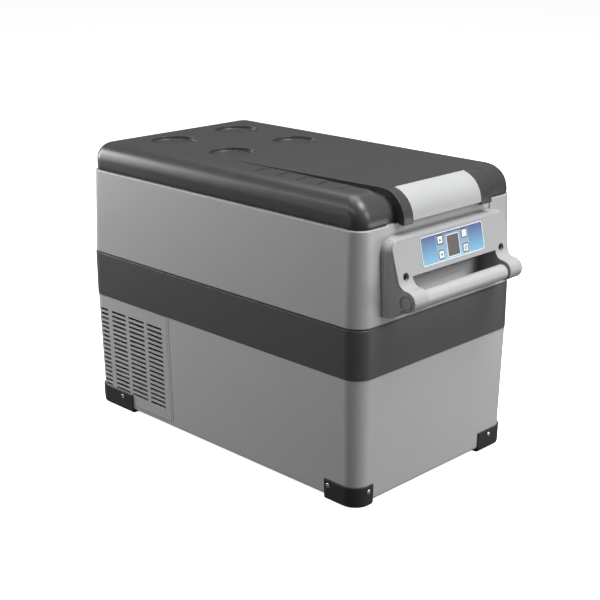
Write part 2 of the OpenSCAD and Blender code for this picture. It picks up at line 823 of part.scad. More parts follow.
module key(place) {
    color([0.95, 0.95, 0.95]) on_panel() translate([0, place[0], place[1]]) {
        span([-5.5, 0.3], [-key_size / 2, key_size / 2], [-key_size / 2, key_size / 2]);
        span([-3.8, -skin_t - 0.2], [-key_size / 2 - 0.9, key_size / 2 + 0.9],
             [-key_size / 2 - 0.9, key_size / 2 + 0.9]);
    }
}

module key_up() key(key_places[0]);
module key_down() key(key_places[1]);
module key_power() key(key_places[2]);
module key_set() key(key_places[3]);

// ---------------------------------------------------------------- lid

function roll(z, r) = z < lid_top - r ? 0 : r - sqrt(r * r - pow(z - lid_top + r, 2));

module lid_level(z, side, front) {
    translate([0, 0, z]) linear_extrude(thin)
        rounded_span([-lid_half_l + side, lid_half_l - front],
                     [-lid_half_w + side, lid_half_w - side], max(lid_corner_r - side, 8),
                     $fn = loft_fn);
}

module lid_body() {
    levels = [lid_low, 368, 376, 382, 388, 393, 397.5, 401, 403, lid_top - thin];
    hull() for (z = levels) lid_level(z, roll(z, lid_side_r), roll(z, lid_front_r));
}

// Side outline of the lid's front tongue, moved inwards by t
function tongue_outline(t, a0, a1) =
    [for (i = [0:14]) tongue_c + [(tongue_a - t) * cos(a0 + (a1 - a0) * i / 14),
                                  (tongue_b - t) * sin(a0 + (a1 - a0) * i / 14)]];

module lid_tongue() {
    across(tongue_half_w) polygon(concat([[225, lid_low + 1], [tongue_back, lid_low + 1],
        [tongue_back, tongue_low], [tongue_c[0] + tongue_a, tongue_low]],
        tongue_outline(0, 0, 90), [[225, lid_top]]));
}

// Well that the latch lies in
module latch_well() {
    across(latch_half_w + seam) polygon(concat(
        arc(latch_c, latch_barrel_r + 0.35, 280, 90, 16),
        [[latch_c[0], lid_top + over], [300, lid_top + over],
         [300, tongue_low - over], [tongue_back - 0.1, tongue_low - over]],
        tongue_outline(latch_well, 0, 62)));
    span([250.5, 276], [-15, 15], [tongue_low - over, 380]);
}

// Groove along the lid: its floor slopes down towards the front, then curves over
module groove_cut() {
    curve = [for (i = [0:14]) groove_c + [groove_a * sin(90 * i / 14), groove_b * cos(90 * i / 14)]];
    intersection() {
        across(half_w) polygon(concat([[groove_plan[0][0], lid_top + over], [groove_plan[0][0], lid_top]],
            curve, [[groove_c[0] + groove_a, tongue_low - over], [300, tongue_low - over],
                    [300, lid_top + over]]));
        translate([0, 0, tongue_low - 2 * over]) linear_extrude(90) polygon(groove_plan);
    }
}

// Shallow sloping steps on the lid beside the groove
module rib_cuts() {
    for (x = rib_x) rotate([90, 0, 0]) translate([0, 0, -rib_y[1]])
        linear_extrude(rib_y[1] - rib_y[0]) polygon([[x - rib_l, lid_top + 0.02],
            [x, lid_top - rib_depth], [x, lid_top + over], [x - rib_l, lid_top + over]]);
}

// Material left under the groove and the drink recesses
module lid_thickening() {
    translate([0, 0, 388]) linear_extrude(lid_top - 388)
        rounded_span([5, lid_half_l], [-107, -78], 4);
    for (x = cup_x, sy = [-1, 1]) translate([x, sy * cup_y, lid_top - cup_depth - 3])
        cylinder(r = cup_d / 2 + 3, h = cup_depth + 3);
    for (p = lid_screw_places) translate([p[0], p[1], 369.6]) cylinder(r = 4, h = 28);
}

lid_screw_places = [for (x = [-190, 0, 190], sy = [-1, 1]) [x, sy * 145.5]];

module lid_hollow() {
    difference() {
        hull() for (l = [[lid_low - over, 0], [386, 2.4], [400, 14]])
            translate([0, 0, l[0]]) linear_extrude(thin)
                rounded_span([-lid_half_l + lid_wall + l[1], lid_front_in - 1.6 * l[1]],
                             [-lid_half_w + lid_wall + l[1], lid_half_w - lid_wall - l[1]],
                             max(lid_corner_r - lid_wall - l[1], 12), $fn = loft_fn);
        lid_thickening();
    }
}

module lid_shell() {
    color([0.27, 0.27, 0.28]) difference() {
        union() {
            lid_body();
            lid_tongue();
        }
        lid_hollow();
        latch_well();
        groove_cut();
        rib_cuts();
        for (x = cup_x, sy = [-1, 1]) translate([x, sy * cup_y, lid_top - cup_depth])
            cylinder(r = cup_d / 2, h = cup_depth + over, $fn = 96);
        rod_y(latch_c, latch_pin_r + 0.02, [-latch_half_w - 5, latch_half_w + 5]);
        for (p = lid_screw_places) translate([p[0], p[1], 360]) cylinder(r = 1.6, h = 24);
    }
}

module lid_inner() {
    color([0.84, 0.85, 0.86]) difference() {
        union() {
            translate([0, 0, 366.4]) linear_extrude(3)
                rounded_span([-lid_half_l + lid_wall + 1.4, lid_front_in - 2],
                             [-lid_half_w + lid_wall + 1.4, lid_half_w - lid_wall - 1.4], 26);
            translate([0, 0, 364.9]) linear_extrude(2)
                rounded_span([shelf_rear + 6, tub_front - 6], [-tub_half_w + 6, tub_half_w - 6], 16);
        }
        for (p = lid_screw_places) translate([p[0], p[1], 360]) cylinder(r = 1.7, h = 20);
    }
}

module lid_foam() {
    color([0.93, 0.86, 0.66]) difference() {
        hull() for (l = [[369.6, 8.6], [386, 9], [394, 15]]) translate([0, 0, l[0]])
            linear_extrude(thin) rounded_span([-lid_half_l + lid_wall + l[1] - 4,
                    lid_front_in + 8 - 1.9 * l[1]],
                [-lid_half_w + lid_wall + l[1], lid_half_w - lid_wall - l[1]], 14, $fn = loft_fn);
        translate([0, 0, -gap]) lid_thickening();
        translate([0, 0, 387.5]) linear_extrude(20) rounded_span([4, lid_half_l], [-108, -77], 4);
    }
}

module lid_gasket() {
    color([0.3, 0.3, 0.31]) translate([0, 0, body_top + 0.1]) linear_extrude(2.2) difference() {
        rounded_span([shelf_rear - 12, tub_front + 10], [-tub_half_w - 11, tub_half_w + 11], 26);
        rounded_span([shelf_rear - 7, tub_front + 5], [-tub_half_w - 6, tub_half_w + 6], 21);
    }
}

module lid_screws() {
    color([0.6, 0.6, 0.62]) for (p = lid_screw_places) translate([p[0], p[1], 364.9]) {
        cylinder(r1 = 2.4, r2 = 3, h = 1.4);
        cylinder(r = 1.5, h = 17);
    }
}

module latch_plate() {
    color([0.88, 0.89, 0.9]) difference() {
        union() {
            across(latch_half_w) polygon(concat(
                tongue_outline(0, 1, 78), arc(latch_c, latch_barrel_r, 88, 290, 16),
                tongue_outline(latch_t, 68, 1)));
            span([259.6, 274.5], [-10, 10], [367, 373]);
        }
        rod_y(latch_c, latch_pin_r + run, [-latch_half_w - over, latch_half_w + over]);
    }
}

module latch_pin() {
    color([0.6, 0.6, 0.62]) rod_y(latch_c, latch_pin_r, [-latch_half_w - 4.5, latch_half_w + 4.5]);
}

module latch_catch() {
    color([0.35, 0.35, 0.36]) {
        span([254, 259], [-12, 12], [body_top, 376]);
        span([251.5, 262], [-14, 14], [body_top, body_top + 1.5]);
    }
}

// ---------------------------------------------------------------- hinges

module hinge_bore() rod_y(hinge_c, hinge_pin_r + run, [-hinge_half_w - over, hinge_half_w + over]);

module hinge_body_leaf() {
    plate_x = [-270.4, -268.3];
    outer = [knuckle_half_w + 0.3, hinge_half_w];
    difference() {
        union() {
            span(plate_x, [-hinge_half_w, hinge_half_w], [351, hinge_c[1] - 5.6]);
            for (sy = [-1, 1]) mirror([0, sy < 0 ? 1 : 0, 0]) {
                rod_y(hinge_c, knuckle_r, outer);
                span([hinge_c[0] - 1, plate_x[1]], outer, [hinge_c[1] - 8, hinge_c[1] - 1]);
            }
        }
        hinge_bore();
    }
}

module hinge_lid_leaf() {
    plate_x = [-lid_half_l - 2.1, -lid_half_l - 0.1];
    difference() {
        union() {
            span(plate_x, [-hinge_half_w, hinge_half_w], [hinge_c[1] + 5.6, 383]);
            rod_y(hinge_c, knuckle_r, [-knuckle_half_w, knuckle_half_w]);
            span([hinge_c[0], plate_x[1]], [-knuckle_half_w, knuckle_half_w],
                 [hinge_c[1] + 1, hinge_c[1] + 8]);
        }
        hinge_bore();
    }
}

module hinge_body_leaves() {
    color([0.3, 0.3, 0.31]) for (y = hinge_y) translate([0, y, 0]) hinge_body_leaf();
}

module hinge_lid_leaves() {
    color([0.27, 0.27, 0.28]) for (y = hinge_y) translate([0, y, 0]) hinge_lid_leaf();
}

module hinge_pins() {
    color([0.7, 0.7, 0.72]) for (y = hinge_y) translate([0, y, 0])
        rod_y(hinge_c, hinge_pin_r, [-hinge_half_w - 0.5, hinge_half_w + 0.5]);
}

// ---------------------------------------------------------------- fittings

// Power socket in the rear wall: flange, body, recess and contact pins
module inlet(y, recess, pins) {
    face = -half_l + 0.5;
    translate([face, y, inlet_z]) {
        difference() {
            union() {
                rotate([90, 0, -90]) linear_extrude(2) rounded(16, 14, 4);
                span([0, 20], [-inlet_half[0] + gap, inlet_half[0] - gap],
                     [-inlet_half[1] + gap, inlet_half[1] - gap]);
            }
            span([-over, 15], [-recess[0], recess[0]], [-recess[1], recess[1]]);
        }
        for (p = pins) translate([7, p, 0]) rotate([0, 90, 0]) cylinder(r = 1.4, h = 9, $fn = 24);
    }
}

module dc_inlet() color([0.1, 0.1, 0.11]) inlet(dc_y, [8, 5], [-3.5, 3.5]);
module ac_inlet() color([0.1, 0.1, 0.11]) inlet(ac_y, [9.5, 7], [-5, 5]);

module interior_light() {
    color([0.95, 0.95, 0.9]) translate([tub_front - 6, 0, 320]) rotate([0, 90, 0])
        linear_extrude(5.8) rounded(8, 24, 4);
}

// Basket of flat wire standing in the main compartment
basket_x = [-33, 221];
basket_half_w = 119;
basket_z = [tub_floor + 0.1, 322];
basket_wire = 3;

module basket_ring(z) {
    translate([0, 0, z]) linear_extrude(basket_wire) difference() {
        rounded_span(basket_x, [-basket_half_w, basket_half_w], 16);
        rounded_span([basket_x[0] + basket_wire, basket_x[1] - basket_wire],
                     [-basket_half_w + basket_wire, basket_half_w - basket_wire], 13);
    }
}

module wire_basket() {
    long_wires = 7;
    side_wires = 7;
    rings = 4;
    x_in = [basket_x[0] + 17, basket_x[1] - 17];
    y_in = basket_half_w - 17;
    color([0.88, 0.88, 0.9]) {
        for (i = [0:rings - 1])
            basket_ring(basket_z[0] + i * (basket_z[1] - basket_wire - basket_z[0]) / (rings - 1));
        for (i = [0:side_wires - 1], sy = [-1, 1]) {
            x = x_in[0] + i * (x_in[1] - x_in[0]) / (side_wires - 1);
            translate([x, sy * (basket_half_w - basket_wire), 0])
                span([-1, 1], [-1.2, 1.2], [basket_z[0] + 1, basket_z[1] - 1]);
        }
        for (i = [0:long_wires - 1], side = [0, 1]) {
            y = -y_in + i * 2 * y_in / (long_wires - 1);
            translate([basket_x[side] + (side == 0 ? 1 : -1) * basket_wire, y, 0])
                span([-1.2, 1.2], [-1, 1], [basket_z[0] + 1, basket_z[1] - 1]);
        }
        for (i = [0:long_wires - 1]) {
            y = -y_in + i * 2 * y_in / (long_wires - 1);
            span([basket_x[0] + 1, basket_x[1] - 1], [y - 1, y + 1], [basket_z[0] + 0.5, basket_z[0] + 2.5]);
        }
    }
}

// ---------------------------------------------------------------- output

lower_shell();
middle_band();
upper_shell();
top_rim();
inner_liner();
body_foam();
bay_wall();
base_tray();
vent_panel(-1);  // vent_panel_left
vent_panel(1);  // vent_panel_right
foot(1, -1, [57, 59], [33, 35]);  // foot_front_left
foot(1, 1, [57, 59], [50, 64]);  // foot_front_right
foot(-1, -1, [69, 87], [50, 64]);  // foot_rear_left
foot(-1, 1, [69, 87], [50, 64]);  // foot_rear_right
foot_screws();
compressor();
compressor_grommets();
condenser_tube();
condenser_wires();
fan_frame();
fan_rotor();
driver_heatsink();
driver_board();
filter_drier();
refrigerant_lines();
evaporator_coil();
front_handle_base();
front_fascia();
front_handle_bar();
rear_handle_base();
rear_fascia();
rear_handle_bar();
handle_end_caps();
fascia_screws();
display_overlay();
display_module();
control_board();
key_up();
key_down();
key_power();
key_set();
lid_shell();
lid_inner();
lid_foam();
lid_gasket();
lid_screws();
latch_plate();
latch_pin();
latch_catch();
hinge_body_leaves();
hinge_lid_leaves();
hinge_pins();
dc_inlet();
ac_inlet();
interior_light();
wire_basket();
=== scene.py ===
import math

import bmesh
import bpy
from mathutils import Matrix, Vector


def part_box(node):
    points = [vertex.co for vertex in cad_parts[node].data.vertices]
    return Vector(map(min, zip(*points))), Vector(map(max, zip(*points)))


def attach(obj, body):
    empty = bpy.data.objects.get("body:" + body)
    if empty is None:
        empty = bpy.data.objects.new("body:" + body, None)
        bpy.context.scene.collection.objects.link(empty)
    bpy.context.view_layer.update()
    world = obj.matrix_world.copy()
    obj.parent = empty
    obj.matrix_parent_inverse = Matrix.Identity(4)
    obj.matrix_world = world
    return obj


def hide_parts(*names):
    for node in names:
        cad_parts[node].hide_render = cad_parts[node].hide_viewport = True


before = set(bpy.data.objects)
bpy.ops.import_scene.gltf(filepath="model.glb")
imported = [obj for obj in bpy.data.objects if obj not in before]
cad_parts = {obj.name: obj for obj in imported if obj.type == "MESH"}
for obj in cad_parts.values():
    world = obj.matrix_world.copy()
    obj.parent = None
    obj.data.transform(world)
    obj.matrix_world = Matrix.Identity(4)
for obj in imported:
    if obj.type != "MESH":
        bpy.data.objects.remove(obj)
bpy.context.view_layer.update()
scene = bpy.context.scene

MM = 0.001

# ---------- camera


def aim(obj, target):
    """Turns an object's -Z axis towards a point."""
    obj.rotation_euler = (Vector(target) - obj.location).to_track_quat("-Z", "Y").to_euler()


CAMERA_PLACE = (1.2210, -1.2169, 0.7419)
CAMERA_TARGET = (0.00698, 0.00692, 0.18578)

camera = bpy.data.objects.new("camera", bpy.data.cameras.new("camera"))
scene.collection.objects.link(camera)
camera.location = CAMERA_PLACE
aim(camera, CAMERA_TARGET)
camera.data.lens = 74.85
camera.data.sensor_width = 36
scene.camera = camera
scene.view_settings.view_transform = "Standard"

# ---------- sizes
# Millimetres: X along the body with the display end at +X, Y across it, Z up from the floor. Pairs are a
# lowest and a highest value, or X and Z for a centre (C). The main outline comes from the CAD nodes' boxes.


def box_mm(node):
    """Lowest and highest corner of a CAD node, in millimetres."""
    low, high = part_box(node)
    return [v / MM for v in low], [v / MM for v in high]


band_low, band_high = box_mm("middle_band")
HALF_L = band_high[0]
HALF_W = band_high[1]
BAND_Z = (band_low[2], band_high[2])
BODY_TOP = box_mm("upper_shell")[1][2]
FLOOR_GAP = box_mm("lower_shell")[0][2]
LID_TOP = box_mm("lid_shell")[1][2]
BAR_LOW, BAR_HIGH = box_mm("front_handle_bar")
BAR_R = (BAR_HIGH[2] - BAR_LOW[2]) / 2
BAR_C = ((BAR_LOW[0] + BAR_HIGH[0]) / 2, (BAR_LOW[2] + BAR_HIGH[2]) / 2)

FAR = 5                 # how far a cutting tool reaches past the faces it cuts

CORNER_R = 26           # body's upright corners
WALL = 3
# Inset from the band's faces, and height, of each level of the shells' outer faces.
LOWER_LEVELS = ((7.2, FLOOR_GAP), (5.6, FLOOR_GAP + 1), (4.9, FLOOR_GAP + 2.4), (4.65, FLOOR_GAP + 4.5),
                (0.6, BAND_Z[0]))
LOWER_INSIDE = ((0.6 + WALL, BAND_Z[0]), (6.7, FLOOR_GAP + 7), (8.4, FLOOR_GAP + WALL))
UPPER_LEVELS = ((1.0, BAND_Z[1]), (5.7, BODY_TOP))
RIM_INSET = 8.5         # inner edge of the shell's top, where the rim starts
REVEAL_DEPTH = 2.1      # shadow line between the band and the upper shell
REVEAL_Z = (BAND_Z[1] - 1.9, BAND_Z[1])

LID_X = (-HALF_L + 8.3, HALF_L - 6.5)
LID_HALF_W = HALF_W - 7.5
LID_LOW = BODY_TOP + 0.6
LID_SIDE_R = 25         # roll of the lid's long edges
LID_FRONT_R = 36        # roll over the display end
LID_CORNER_R = 20
LID_WALL = 3
TONGUE_HALF = 91        # the tongue carries the latch over the display end
TONGUE_C = (240, 366)
TONGUE_A = 37           # half axis of its rounded front, along X
TONGUE_B = LID_TOP - TONGUE_C[1]  # half axis along Z
TONGUE_LOW = 362.5
TONGUE_BACK = 268.2
CUP_X = (-184, -57)     # centres of the four drink recesses
CUP_Y = (-62, 62)
CUP_R = 33
CUP_DEPTH = 5

LATCH_HALF = 68.6
LATCH_C = (247, 400)    # the latch's pin
LATCH_BARREL = 4
LATCH_T = 3.5
LATCH_WELL = 9          # depth of the lid's recess for the latch
TOOTH = ((259.6, 274.5), (-10, 10), (367, 373))
TOOTH_SLOT = ((250.5, 276), (-15, 15), (TONGUE_LOW - FAR, 380))

TILT = math.radians(12.26)  # slope of the control panel
PANEL_FOOT = (291.5, 303)
HOUSING = (252, 350)    # height of a handle housing's lower and upper edge
HOUSING_HALF = 118
HOUSING_CORNER = 16
ARM_OUT = 110           # outer and inner faces of the arms that hold the bar
ARM_IN = 84
ARM_START = 300         # height at which the arms leave the panel
BOSS_C = (304.3, 276.5)
BOSS_R = 13.5
SKIN = 2.5              # thickness of a fascia
POCKET_BACK = 261       # back of the finger recess under the panel
POCKET_HALF = 91
POCKET_TOP = PANEL_FOOT[1] - 1.5
POCKET_WALL = 2.5
HANDLE_FAR = 320        # X past the bars, where cutting tools end
LID_FAR = 300           # X past the latch, where the lid's cutting tools end

# ---------- meshes


def outline(x, y, r, n=12):
    """Anticlockwise points of a rounded rectangle, n steps a corner."""
    points = []
    for cx, cy, start in ((x[1] - r, y[1] - r, 0), (x[0] + r, y[1] - r, 90),
                          (x[0] + r, y[0] + r, 180), (x[1] - r, y[0] + r, 270)):
        for i in range(n + 1):
            a = math.radians(start + 90 * i / n)
            points.append((cx + r * math.cos(a), cy + r * math.sin(a)))
    return points


def arc(c, r, a0, a1, n):
    """Points of an arc in n steps, angles in degrees."""
    return ellipse(c, r, r, a0, a1, n)


def ellipse(c, rx, ry, a0, a1, n):
    """Points of an arc with a half axis each way."""
    return [(c[0] + rx * math.cos(math.radians(a0 + (a1 - a0) * i / n)),
             c[1] + ry * math.sin(math.radians(a0 + (a1 - a0) * i / n))) for i in range(n + 1)]


def circle(c, r, n):
    """Points of a full circle."""
    return arc(c, r, 0, 360 - 360 / n, n - 1)


def at_z(points, z):
    """Plan points lifted to a height."""
    return [(p[0], p[1], z) for p in points]


def new_object(name, bm):
    """Object of a bmesh drawn in millimetres."""
    bmesh.ops.scale(bm, vec=(MM, MM, MM), verts=bm.verts)
    bmesh.ops.recalc_face_normals(bm, faces=bm.faces)
    mesh = bpy.data.meshes.new(name)
    bm.to_mesh(mesh)
    bm.free()
    obj = bpy.data.objects.new(name, mesh)
    scene.collection.objects.link(obj)
    return obj


def solid(name, levels, closed=False):
    """Solid through a stack of equal outlines; closed joins the last level to the first."""
    bm = bmesh.new()
    rings = [[bm.verts.new(p) for p in level] for level in levels]
    pairs = list(zip(rings, rings[1:]))
    if closed:
        pairs.append((rings[-1], rings[0]))
    else:
        bm.faces.new(rings[0])
        bm.faces.new(rings[-1])
    for low, high in pairs:
        for i in range(len(low)):
            k = (i + 1) % len(low)
            bm.faces.new((low[i], low[k], high[k], high[i]))
    return new_object(name, bm)


def prism(name, points, z):
    """Straight solid over a plan outline."""
    return solid(name, [at_z(points, z[0]), at_z(points, z[1])])


def across(name, profile, y):
    """Straight solid over an outline in X and Z."""
    return solid(name, [[(p[0], v, p[1]) for p in profile] for v in y])


def along(name, profile, x):
    """Straight solid over an outline in Y and Z."""
    return solid(name, [[(v, p[0], p[1]) for p in profile] for v in x])


def block(name, x, y, z):
    """Box between two values in each direction."""
    return prism(name, [(x[0], y[0]), (x[1], y[0]), (x[1], y[1]), (x[0], y[1])], z)


def lathe(name, profile, n):
    """Solid of revolution about Z from points (radius, height); the profile starts and ends on the axis."""
    bm = bmesh.new()
    rings = []
    for r, z in profile:
        if r == 0:
            rings.append([bm.verts.new((0, 0, z))])
        else:
            rings.append([bm.verts.new(p) for p in at_z(circle((0, 0), r, n), z)])
    for low, high in zip(rings, rings[1:]):
        for i in range(n):
            k = (i + 1) % n
            corners = [low[i % len(low)], low[k % len(low)], high[k % len(high)], high[i % len(high)]]
            unique = [v for j, v in enumerate(corners) if v not in corners[:j]]
            if len(unique) > 2:
                bm.faces.new(unique)
    return new_object(name, bm)


def place(obj, matrix):
    """Moves an object's mesh by a matrix whose translation is in millimetres."""
    m = matrix.copy()
    m.translation = m.translation * MM
    obj.data.transform(m)
    return obj


def bake(obj):
    """Applies an object's modifiers to its mesh."""
    graph = bpy.context.evaluated_depsgraph_get()
    mesh = bpy.data.meshes.new_from_object(obj.evaluated_get(graph))
    obj.modifiers.clear()
    old = obj.data
    obj.data = mesh
    bpy.data.meshes.remove(old)


def discard(obj):
    """Deletes an object and its mesh."""
    mesh = obj.data
    bpy.data.objects.remove(obj)
    bpy.data.meshes.remove(mesh)


def combine(obj, how, *tools):
    """Boolean of an object with tools, which are used up. how is DIFFERENCE, UNION or INTERSECT."""
    for tool in tools:
        m = obj.modifiers.new("combine", "BOOLEAN")
        m.operation = how
        m.object = tool
        m.solver = "EXACT"
    bake(obj)
    for tool in tools:
        discard(tool)
    return obj


def cut(obj, *tools):
    """Takes tools out of an object."""
    return combine(obj, "DIFFERENCE", *tools)


def join(obj, *others):
    """Puts other objects' meshes into this one as separate solids."""
    bm = bmesh.new()
    for o in (obj,) + others:
        bm.from_mesh(o.data)
    bm.to_mesh(obj.data)
    bm.free()
    for o in others:
        discard(o)
    return obj


def mirrored(obj, name, axis):
    """Copy of an object mirrored in X (0) or Y (1)."""
    copy = bpy.data.objects.new(name, obj.data.copy())
    scene.collection.objects.link(copy)
    scale = [1, 1, 1]
    scale[axis] = -1
    copy.data.transform(Matrix.Diagonal(scale + [1]))
    copy.data.flip_normals()
    return copy


WELD = 0.01             # points nearer than this are merged before the edges are rounded
SLIVER = 0.005          # edges shorter than this are dissolved
ROUND_ANGLE = 32        # edges that turn by more degrees than this are rounded
SHARP_ANGLE = 40        # and by more than this are shaded as sharp


def weld(obj):
    """Merges the doubled points and slivers that booleans leave."""
    bm = bmesh.new()
    bm.from_mesh(obj.data)
    bmesh.ops.remove_doubles(bm, verts=bm.verts, dist=WELD * MM)
    bmesh.ops.dissolve_degenerate(bm, edges=bm.edges, dist=SLIVER * MM)
    bm.to_mesh(obj.data)
    bm.free()


def add_bevel(obj, width, segments, angle):
    """Modifier that rounds the edges that turn by more than an angle in degrees."""
    m = obj.modifiers.new("eased_edges", "BEVEL")
    m.width = width * MM
    m.segments = segments
    m.limit_method = "ANGLE"
    m.angle_limit = math.radians(angle)
    return m


def shade(obj):
    """Shades an object smooth, with flat faces left flat."""
    for p in obj.data.polygons:
        p.use_smooth = True
    obj.data.set_sharp_from_angle(angle=math.radians(SHARP_ANGLE))
    m = obj.modifiers.new("normals", "WEIGHTED_NORMAL")
    m.keep_sharp = True
    m.weight = 90
    bake(obj)
    return obj


def soften(obj, width, segments=3):
    """Rounds the edges, then shades the faces."""
    weld(obj)
    m = add_bevel(obj, width, segments, ROUND_ANGLE)
    m.use_clamp_overlap = False
    m.miter_outer = "MITER_ARC"
    bake(obj)
    return shade(obj)


def piece(obj, body, nodes, material):
    """Makes an object a finished piece of the model."""
    obj.data.materials.clear()
    obj.data.materials.append(MAT[material])
    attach(obj, body)
    if nodes:
        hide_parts(*nodes)


# ---------- materials


class Nodes:
    """Short calls for building one material's node tree."""

    def __init__(self, name):
        self.material = bpy.data.materials.new(name)
        self.material.use_nodes = True
        self.tree = self.material.node_tree
        self.shader = self.tree.nodes["Principled BSDF"]
        self.coords = self.tree.nodes.new("ShaderNodeTexCoord").outputs["Object"]

    def add(self, kind, **inputs):
        """New node with its inputs set; an underscore in a name stands for a space."""
        node = self.tree.nodes.new(kind)
        for key, value in inputs.items():
            self.set(node, key.replace("_", " "), value)
        return node

    def set(self, node, key, value):
        """Links or fills an input, named by its label or its number."""
        socket = node.inputs[key]
        if isinstance(value, bpy.types.NodeSocket):
            self.tree.links.new(value, socket)
        else:
            socket.default_value = value

    def noise(self, scale, detail, stretch=(1, 1, 1)):
        """Noise of so many cells a metre."""
        mapping = self.add("ShaderNodeMapping", Vector=self.coords, Scale=stretch)
        node = self.add("ShaderNodeTexNoise", Vector=mapping.outputs[0], Scale=scale, Detail=detail)
        return node.outputs["Fac"]

    def spread(self, value, low, high):
        """Maps the middle of a noise's range on to low..high."""
        return self.add("ShaderNodeMapRange", Value=value, From_Min=0.3, From_Max=0.7,
                        To_Min=low, To_Max=high).outputs["Result"]

    def product(self, first, second):
        """Product of two values."""
        node = self.add("ShaderNodeMath")
        node.operation = "MULTIPLY"
        self.set(node, 0, first)
        self.set(node, 1, second)
        return node.outputs[0]

    def tint(self, rgb, factor):
        """Colour times a factor."""
        node = self.add("ShaderNodeVectorMath")
        node.operation = "SCALE"
        self.set(node, 0, rgb)
        self.set(node, "Scale", factor)
        return node.outputs[0]

    def bump(self, height, strength, distance, normal=None):
        """Relief of a strength up to 1 over a distance in metres, on top of an earlier one."""
        node = self.add("ShaderNodeBump", Height=height, Strength=strength, Distance=distance)
        if normal is not None:
            self.set(node, "Normal", normal)
        return node.outputs[0]

    def surface(self, **inputs):
        """Sets the shader's inputs and gives the finished material."""
        for key, value in inputs.items():
            self.set(self.shader, key.replace("_", " "), value)
        return self.material


GRAIN_MM = 0.55         # size of the plastics' spark-eroded grain


def plastic(name, rgb, rough, grain, mottle=0.012, specular=0.5):
    """Moulded plastic: spark-eroded grain, faint flow mottling and handling marks in the gloss."""
    n = Nodes(name)
    cells = n.add("ShaderNodeTexVoronoi", Vector=n.coords, Scale=1 / (GRAIN_MM * MM))
    speck = n.noise(2600, 2)
    flow = n.noise(14, 4)
    smudge = n.noise(38, 5)
    tone = n.product(n.spread(flow, 1 - mottle, 1 + mottle), n.spread(speck, 1 - mottle / 2, 1 + mottle / 2))
    coarse = n.bump(cells.outputs["Distance"], grain, 0.08 * MM)
    return n.surface(Base_Color=n.tint(rgb, tone), Roughness=n.spread(smudge, rough - 0.02, rough + 0.03),
                     Normal=n.bump(speck, grain, 0.05 * MM, coarse), Specular_IOR_Level=specular)


def metal(name, rgb, rough, stretch, scale):
    """Metal with brushed or drawn streaks, finer along the axes that are stretched more."""
    n = Nodes(name)
    streak = n.noise(scale, 4, stretch)
    stain = n.noise(45, 4)
    return n.surface(Base_Color=n.tint(rgb, n.spread(stain, 0.88, 1.08)), Metallic=1.0,
                     Roughness=n.spread(streak, rough - 0.08, rough + 0.12),
                     Normal=n.bump(streak, 0.15, 0.05 * MM))


def soft_seal(name, rgb):
    """Rubber: matt, with dust and a fine pebble."""
    n = Nodes(name)
    pebble = n.noise(1500, 3)
    dust = n.noise(60, 5)
    return n.surface(Base_Color=n.tint(rgb, n.spread(dust, 0.85, 1.25)), Roughness=n.spread(dust, 0.62, 0.8),
                     Normal=n.bump(pebble, 0.35, 0.1 * MM))


def foam_material():
    """Rigid foam with open cells."""
    n = Nodes("rigid_foam")
    cells = n.add("ShaderNodeTexVoronoi", Vector=n.coords, Scale=700)
    stain = n.noise(90, 4)
    return n.surface(Base_Color=n.tint((0.80, 0.68, 0.42), n.spread(stain, 0.9, 1.08)), Roughness=0.9,
                     Normal=n.bump(cells.outputs["Distance"], 0.7, 0.4 * MM))


FILM_Z = (306, 341)     # height over which the control panel's film changes colour


def film(name, low_rgb, high_rgb):
    """Glossy printed film, shading from one colour at the bottom to another at the top."""
    n = Nodes(name)
    split = n.add("ShaderNodeSeparateXYZ", Vector=n.coords)
    low, high = (z * MM for z in FILM_Z)
    ramp = n.add("ShaderNodeMapRange", Value=split.outputs["Z"], From_Min=low, From_Max=high)
    dots = n.noise(3200, 1)
    mix = n.add("ShaderNodeMix")
    mix.data_type = "RGBA"
    n.set(mix, "Factor", ramp.outputs["Result"])
    n.set(mix, "A", (*low_rgb, 1))
    n.set(mix, "B", (*high_rgb, 1))
    return n.surface(Base_Color=mix.outputs["Result"], Roughness=n.spread(n.noise(30, 4), 0.22, 0.34),
                     Normal=n.bump(dots, 0.05, 0.03 * MM))


